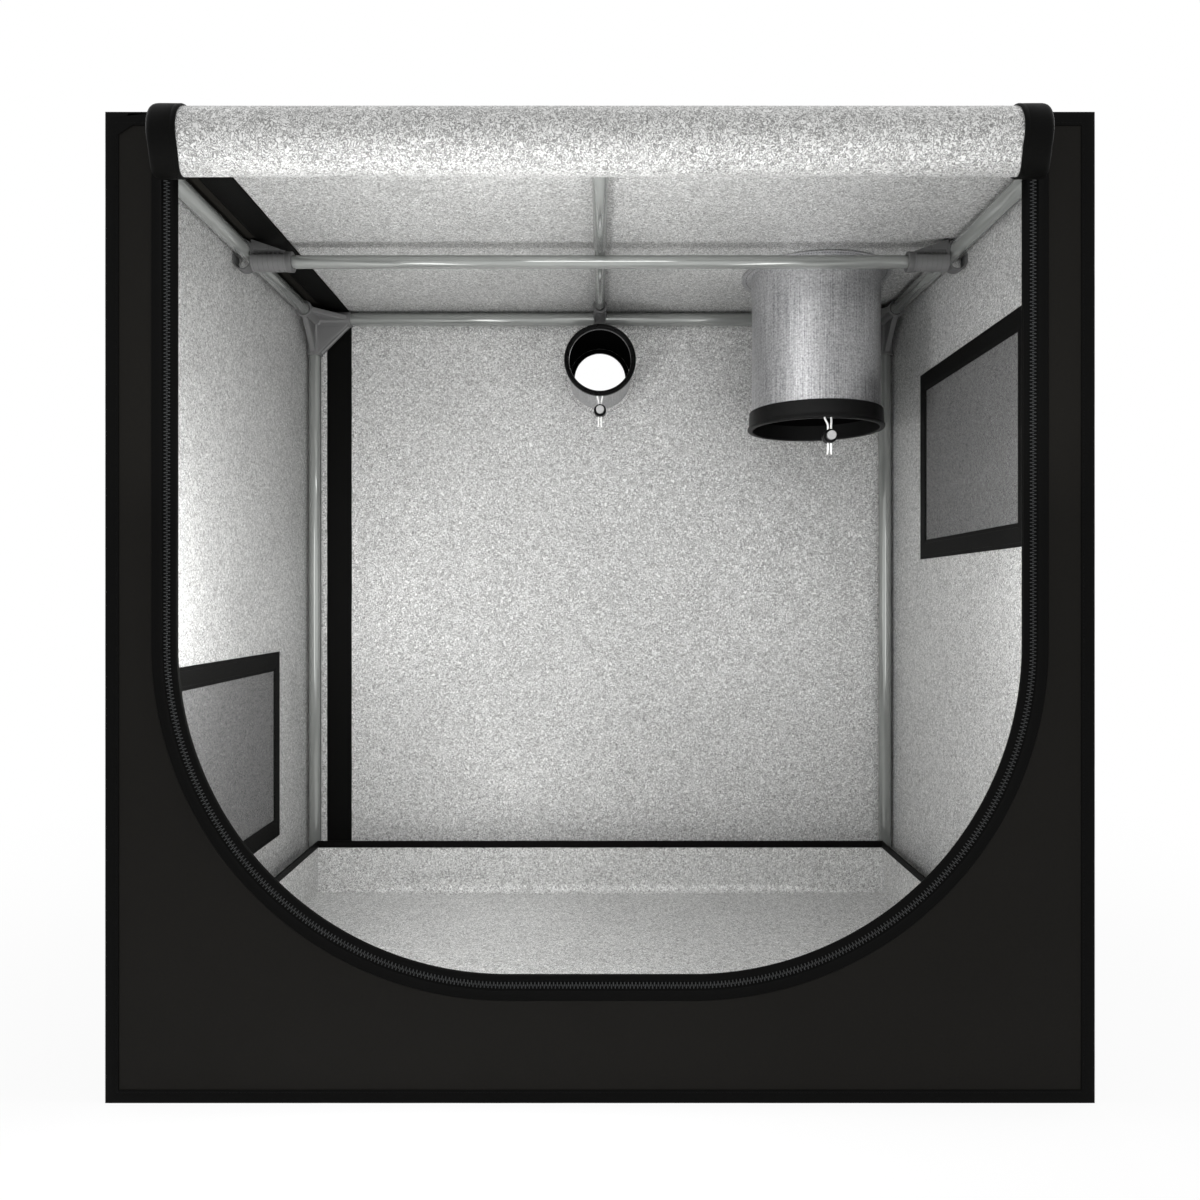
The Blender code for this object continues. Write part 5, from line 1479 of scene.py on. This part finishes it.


# Intake collar. A short sleeve of the same foil cloth, sewn to the back wall, with a black ring at
# its mouth. Its lining is painted near-black without gloss, as painted shade inside the sleeve, and
# its drawcord hangs under the ring.
PORT_RADIUS = 0.047
PORT_SEGMENTS = 112
PORT_MOUTH = 0.0392
RING_MIDDLE = (0.0475, 0.0035)
RING_PROFILE = (
    (0.0440, 0.0), (0.0510, 0.0), (0.0511, 0.0030), (0.0511, 0.0056), (0.0506, 0.0071), (0.0497, 0.0078),
    (0.0488, 0.0080), (0.0481, 0.0076), (0.0475, 0.0069), (0.0469, 0.0076), (0.0462, 0.0080),
    (0.0453, 0.0078), (0.0445, 0.0071), (0.0440, 0.0056),
)


def add_port():
    """Sew the intake collar with its ring."""
    low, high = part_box("port_sleeve")
    wall = high.y
    centre = Vector((port_middle.x, 0, port_middle.z))
    reach = wall - low.y
    start = centre + Vector((0, wall, 0))

    def turned(profile, segments=PORT_SEGMENTS):
        return turned_rows(profile, start, -Y, X, segments)

    def outward(place):
        return (place - centre) * Vector((1, 0, 1))

    sleeve = turned([(PORT_RADIUS, 0.0010 + (reach - 0.0010) * index / 24) for index in range(25)])
    # Its inside is the near-black lining: painted shade.
    tube = add_cloth("port_sleeve_cloth", sleeve, foil, painted_shade_lining, 0.0008, outward, closed=True)
    wrap_uv(tube, start, -Y, X)
    settle(tube, "tent", "lining_silver", None, "port_sleeve")
    # A near-black ring closes the mouth between the hole and the sleeve: painted shade.
    inner = turned([(PORT_MOUTH, 0.0006), (PORT_RADIUS - 0.0010, 0.0006)])
    lining = add_cloth("port_lining_cloth", inner, painted_shade_lining, None, 0.0003, facing(-Y), closed=True)
    settle(lining, "tent", "trim_black", None, "port_sleeve")
    flange = [(PORT_RADIUS - 0.0004, 0.0010), (PORT_RADIUS + 0.0088, 0.0009), (PORT_RADIUS + 0.0090, 0.0002)]
    rim = add_cloth("port_flange_cloth", turned(flange), silver, None, 0.0003, facing(-Y), closed=True)
    settle(rim, "tent", "lining_silver", None, "port_sleeve")
    seam = turned([(PORT_RADIUS + 0.0055, 0.0010)], 90)[0]
    add_stitches("port_stitches", seam, facing(-Y), "tent", "port_sleeve", closed=True)
    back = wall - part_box("port_ring")[1].y
    rows = turned([(radius, back + depth) for radius, depth in RING_PROFILE])
    columns = list(zip(*rows))
    rows = [list(column) for column in columns + columns[:1]]

    def ring_out(place):
        flat = outward(place)
        away = place.y - wall + back + RING_MIDDLE[1]
        return flat.normalized() * (flat.length - RING_MIDDLE[0]) + Y * away

    rows[-1] = rows[0]
    ring = add_cloth("port_ring_band", rows, ring_rubber, None, 0.0003, ring_out, closed=True)
    settle(ring, "tent", "trim_black", None, "port_ring")


def rubber_material():
    """Make the glossy black rubber of the ring and the cord locks."""
    tones = (0.0012,) * 3, (0.0030,) * 3
    surface = solid_material("black_rubber", 0.3, 0, (140, 3), tones, (0.24, 0.36), (1500, 0.00003))
    surface.node_tree.nodes["Principled BSDF"].inputs["Specular IOR Level"].default_value = 0.12
    return surface


ring_rubber = rubber_material()
add_port()


# Drawcords. Each collar's cord comes out of its hem as two white ends, which pass through a sprung
# cord lock: a black barrel with a grey button in its front.
CORD_DIAMETER = 0.0025
BARREL_RADIUS = 0.00875
BARREL_HALF = 0.0075
BARREL_BORE = 0.0055
BUTTON_RADIUS = 0.0057
STEM_RADIUS = 0.0052
WINDOW_WIDTH = 0.0082
SOCK_CORD_ROUTE = (
    (0.0043, 0.0100, 0.0290), (0.0042, 0.0092, 0.0262), (0.0036, 0.0055, 0.0218), (0.0028, 0.0020, 0.0180),
    (0.0022, 0.0005, 0.0150), (0.00195, 0.0, 0.0110), (0.00195, 0.0, 0.0), (0.00195, 0.0, -0.0125),
    (0.0021, 0.0, -0.0175), (0.0026, 0.0, -0.0228),
)
PORT_CORD_ROUTE = (
    (0.0036, 0.0, 0.0210), (0.0032, 0.0, 0.0185), (0.0023, 0.0, 0.0150), (0.00195, 0.0, 0.0110),
    (0.00195, 0.0, 0.0), (0.00195, 0.0, -0.0150), (0.0021, 0.0, -0.0190), (0.0024, 0.0, -0.0228),
)


def smooth_route(points, parts):
    """Return points on the smooth curve through a cord's route."""
    route = [Vector(point) for point in points]
    padded = [2 * route[0] - route[1], *route, 2 * route[-1] - route[-2]]
    fine = []
    for before, start, end, after in zip(padded, padded[1:], padded[2:], padded[3:]):
        slope = end - before
        bend = 2 * before - 5 * start + 4 * end - after
        twist = 3 * start - before - 3 * end + after
        for t in [step / parts for step in range(parts)]:
            fine.append((2 * start + slope * t + bend * t**2 + twist * t**3) / 2)
    fine.append(route[-1])
    return fine


def braided_cord_material():
    """Make the white braided polyester of the drawcords."""
    surface, tree, inputs, place = new_material("cord_braid", 0.55)
    turned = add_node(tree, "ShaderNodeMapping", {"Vector": place, "Rotation": (0.5, 0.7, 0.6)})
    height = add_weave(tree, turned, 1400)["Height"]
    tree.links.new(add_tint(tree, height, (0.62, 0.62, 0.61), (0.92, 0.92, 0.91)), inputs["Base Color"])
    add_bump(tree, height, 0.00012, inputs)
    return surface


def lock_barrel():
    """Model a cord lock's barrel along Y: ribbed round its waist, bored for the button and slotted."""
    barrel = add_round_bar((0, -BARREL_HALF, 0), (0, BARREL_HALF, 0), BARREL_RADIUS, 48)
    round_edges(barrel, 0.0018, 4)
    places = [(0, -0.0022 + 0.0022 * index, 0) for index in range(3)]
    grooves = [add_groove(0.0089, 0.0004, place, (math.pi / 2, 0, 0), 48) for place in places]
    bore = add_round_bar((0, -0.0095, 0), (0, 0.0063, 0), BARREL_BORE, 40)
    slot = add_block((WINDOW_WIDTH, 0.0034, 0.0220), (0, 0, 0))
    return merge(barrel, [*grooves, bore, slot], "DIFFERENCE")


def lock_button():
    """Model a lock's button along Y: a dished head, a stem and the window that the cords pass."""
    head = add_round_bar((0, -0.0138, 0), (0, -0.0108, 0), BUTTON_RADIUS, 48)
    round_edges(head, 0.0008, 3)
    stem = add_round_bar((0, -0.0112, 0), (0, 0.0030, 0), STEM_RADIUS, 40)
    merge(head, [stem])
    bpy.ops.mesh.primitive_uv_sphere_add(segments=32, ring_count=16, radius=0.0120, location=(0, -0.0254, 0))
    dish = bpy.context.object
    window = add_block((WINDOW_WIDTH, 0.0072, 0.0200), (0, -0.00203, 0))
    return merge(head, [dish, window], "DIFFERENCE")


def add_drawcords():
    """Hang both locks with their buttons and cords."""
    barrel, button = lock_barrel(), lock_button()
    for collar, route in (("sock", SOCK_CORD_ROUTE), ("port", PORT_CORD_ROUTE)):
        low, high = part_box(f"{collar}_cord_lock")
        place = (low + high) / 2
        lock = copy_mirrored(barrel, f"{collar}_lock_barrel", place)
        settle(lock, f"{collar}_lock", "lock_plastic", ring_rubber, f"{collar}_cord_lock")
        head = copy_mirrored(button, f"{collar}_lock_button_head", place)
        settle(head, f"{collar}_button", "button_grey", button_grey, f"{collar}_lock_button")
        for side, sign in HANDS:
            points = smooth_route([place + Vector((sign * out, back, up)) for out, back, up in route], 4)
            path = bpy.data.curves.new(f"{collar}_cord_{side}_braid", "CURVE")
            path.dimensions = "3D"
            path.bevel_depth = CORD_DIAMETER / 2
            path.bevel_resolution = 4
            path.use_fill_caps = True
            spline = path.splines.new("POLY")
            spline.points.add(len(points) - 1)
            for point, spot in zip(spline.points, points):
                point.co = (*spot, 1)
            path.materials.append(cord_braid)
            cord = bpy.data.objects.new(f"{collar}_cord_{side}_braid", path)
            bpy.context.scene.collection.objects.link(cord)
            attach(cord, "tent")
            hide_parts(f"{collar}_cord_{side}")
    bpy.data.objects.remove(barrel)
    bpy.data.objects.remove(button)


BUTTON_TONES = (0.30,) * 3, (0.40,) * 3
cord_braid = braided_cord_material()
button_grey = solid_material("button_plastic", 0.42, 0, (260, 3), BUTTON_TONES, None, (2600, 0.00003))
add_drawcords()


# Floor tray. A loose tray of the silver cloth, black underneath, folded up at its four sides and
# sewn at its corners, with a black tape round its rim. It rests on the webs of the lower corners.
TRAY_HEM = 0.010
TRAY_HEM_PROUD = 0.0013
TRAY_CLOTH = 0.0008
TRAY_FOLD = 0.014
TRAY_SAG = 0.0006
TRAY_HEM_PROFILE = (
    (-0.0014, -TRAY_HEM), (-0.0017, -0.0094), (-0.0016, -0.0010), (-0.0008, -0.0001),
    (0.0004, -0.0001), (0.0012, -0.0010), (0.0013, -0.0094), (0.0008, -TRAY_HEM),
)


def fold_at(distance, radius):
    """Return how far in and how high a sheet is, at a distance past the line that it is folded on."""
    if distance >= radius:
        return distance, 0.0
    if distance <= -radius:
        return 0.0, -distance
    angle = (distance + radius) / radius * math.pi / 4
    return radius * (1 - math.cos(angle)), radius * (1 - math.sin(angle))


def fold_radius(place, low, high):
    """Return the radius of the tray's fold: sharp at its corners and soft between them."""
    return 0.00001 + TRAY_FOLD * ease_in(place, low, high, 0.14) ** 2


def add_tray():
    """Fold the tray from one sheet, with its corners cut out and sewn, and bind its rim."""
    low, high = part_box("floor_tray")
    left, right = low.x + TRAY_HEM_PROUD, high.x - TRAY_HEM_PROUD
    front, back = low.y + TRAY_HEM_PROUD, high.y - TRAY_HEM_PROUD
    base, rim = low.z + TRAY_CLOTH / 4, high.z
    tall = rim - base - 0.0003
    fine = (0.001, 0.002, 0.004, 0.006, 0.009, 0.012, 0.016)
    stops = [-tall, 0.0, *(-step for step in fine), *fine]
    wide, deep = right - left, back - front
    across = spread(-tall, wide + tall, 0.015, (*stops, *(wide - stop for stop in stops)))
    along = spread(-tall, deep + tall, 0.015, (*stops, *(deep - stop for stop in stops)))
    rows = []
    for v in along:
        row = []
        for u in across:
            x_in, x_up = fold_at(min(u, wide - u), fold_radius(v, 0, deep))
            y_in, y_up = fold_at(min(v, deep - v), fold_radius(u, 0, wide))
            x = left + x_in if u < wide / 2 else right - x_in
            y = front + y_in if v < deep / 2 else back - y_in
            flat = ease_in(u, 0, wide, 0.05) * ease_in(v, 0, deep, 0.05)
            sag = TRAY_SAG * (1 + noise.noise(Vector((x * 7, y * 7, 0.4)))) * flat
            row.append(Vector((x, y, base + x_up + y_up + sag)))
        rows.append(row)

    def keep(row, column):
        on_side = across[column + 1] <= 0 or across[column] >= wide
        on_end = along[row + 1] <= 0 or along[row] >= deep
        return not (on_side and on_end)

    centre = Vector((0, (front + back) / 2, 0.3))

    def outward(place):
        return place - centre

    tray = add_cloth("floor_tray_cloth", rows, black_cloth, silver, TRAY_CLOTH, outward, keep=keep)
    settle(tray, "floor_tray", "lining_silver", None, "floor_tray")
    rows = []
    for proud, rise in TRAY_HEM_PROFILE:
        x0, x1, y0, y1 = left - proud, right + proud, front - proud, back + proud
        corners = [Vector((x, y, rim + rise)) for x, y in ((x0, y0), (x1, y0), (x1, y1), (x0, y1))]
        rows.append(walk_round(corners, (60, 40, 60, 40)))
        for point in rows[-1]:
            point.z += 0.00015 * noise.noise(Vector((point.x * 40, point.y * 40, 1.7)))

    def hem_out(place):
        if place.z > rim - 0.0009:
            return Z
        away = Vector((place.x / right, (place.y - centre.y) / (back - centre.y), 0))
        return -away if left < place.x < right and front < place.y < back else away

    hem = add_cloth("floor_tray_hem", rows, black_tape, None, 0.0004, hem_out, closed=True)
    settle(hem, "floor_tray", "trim_black", None, "floor_tray")


add_tray()
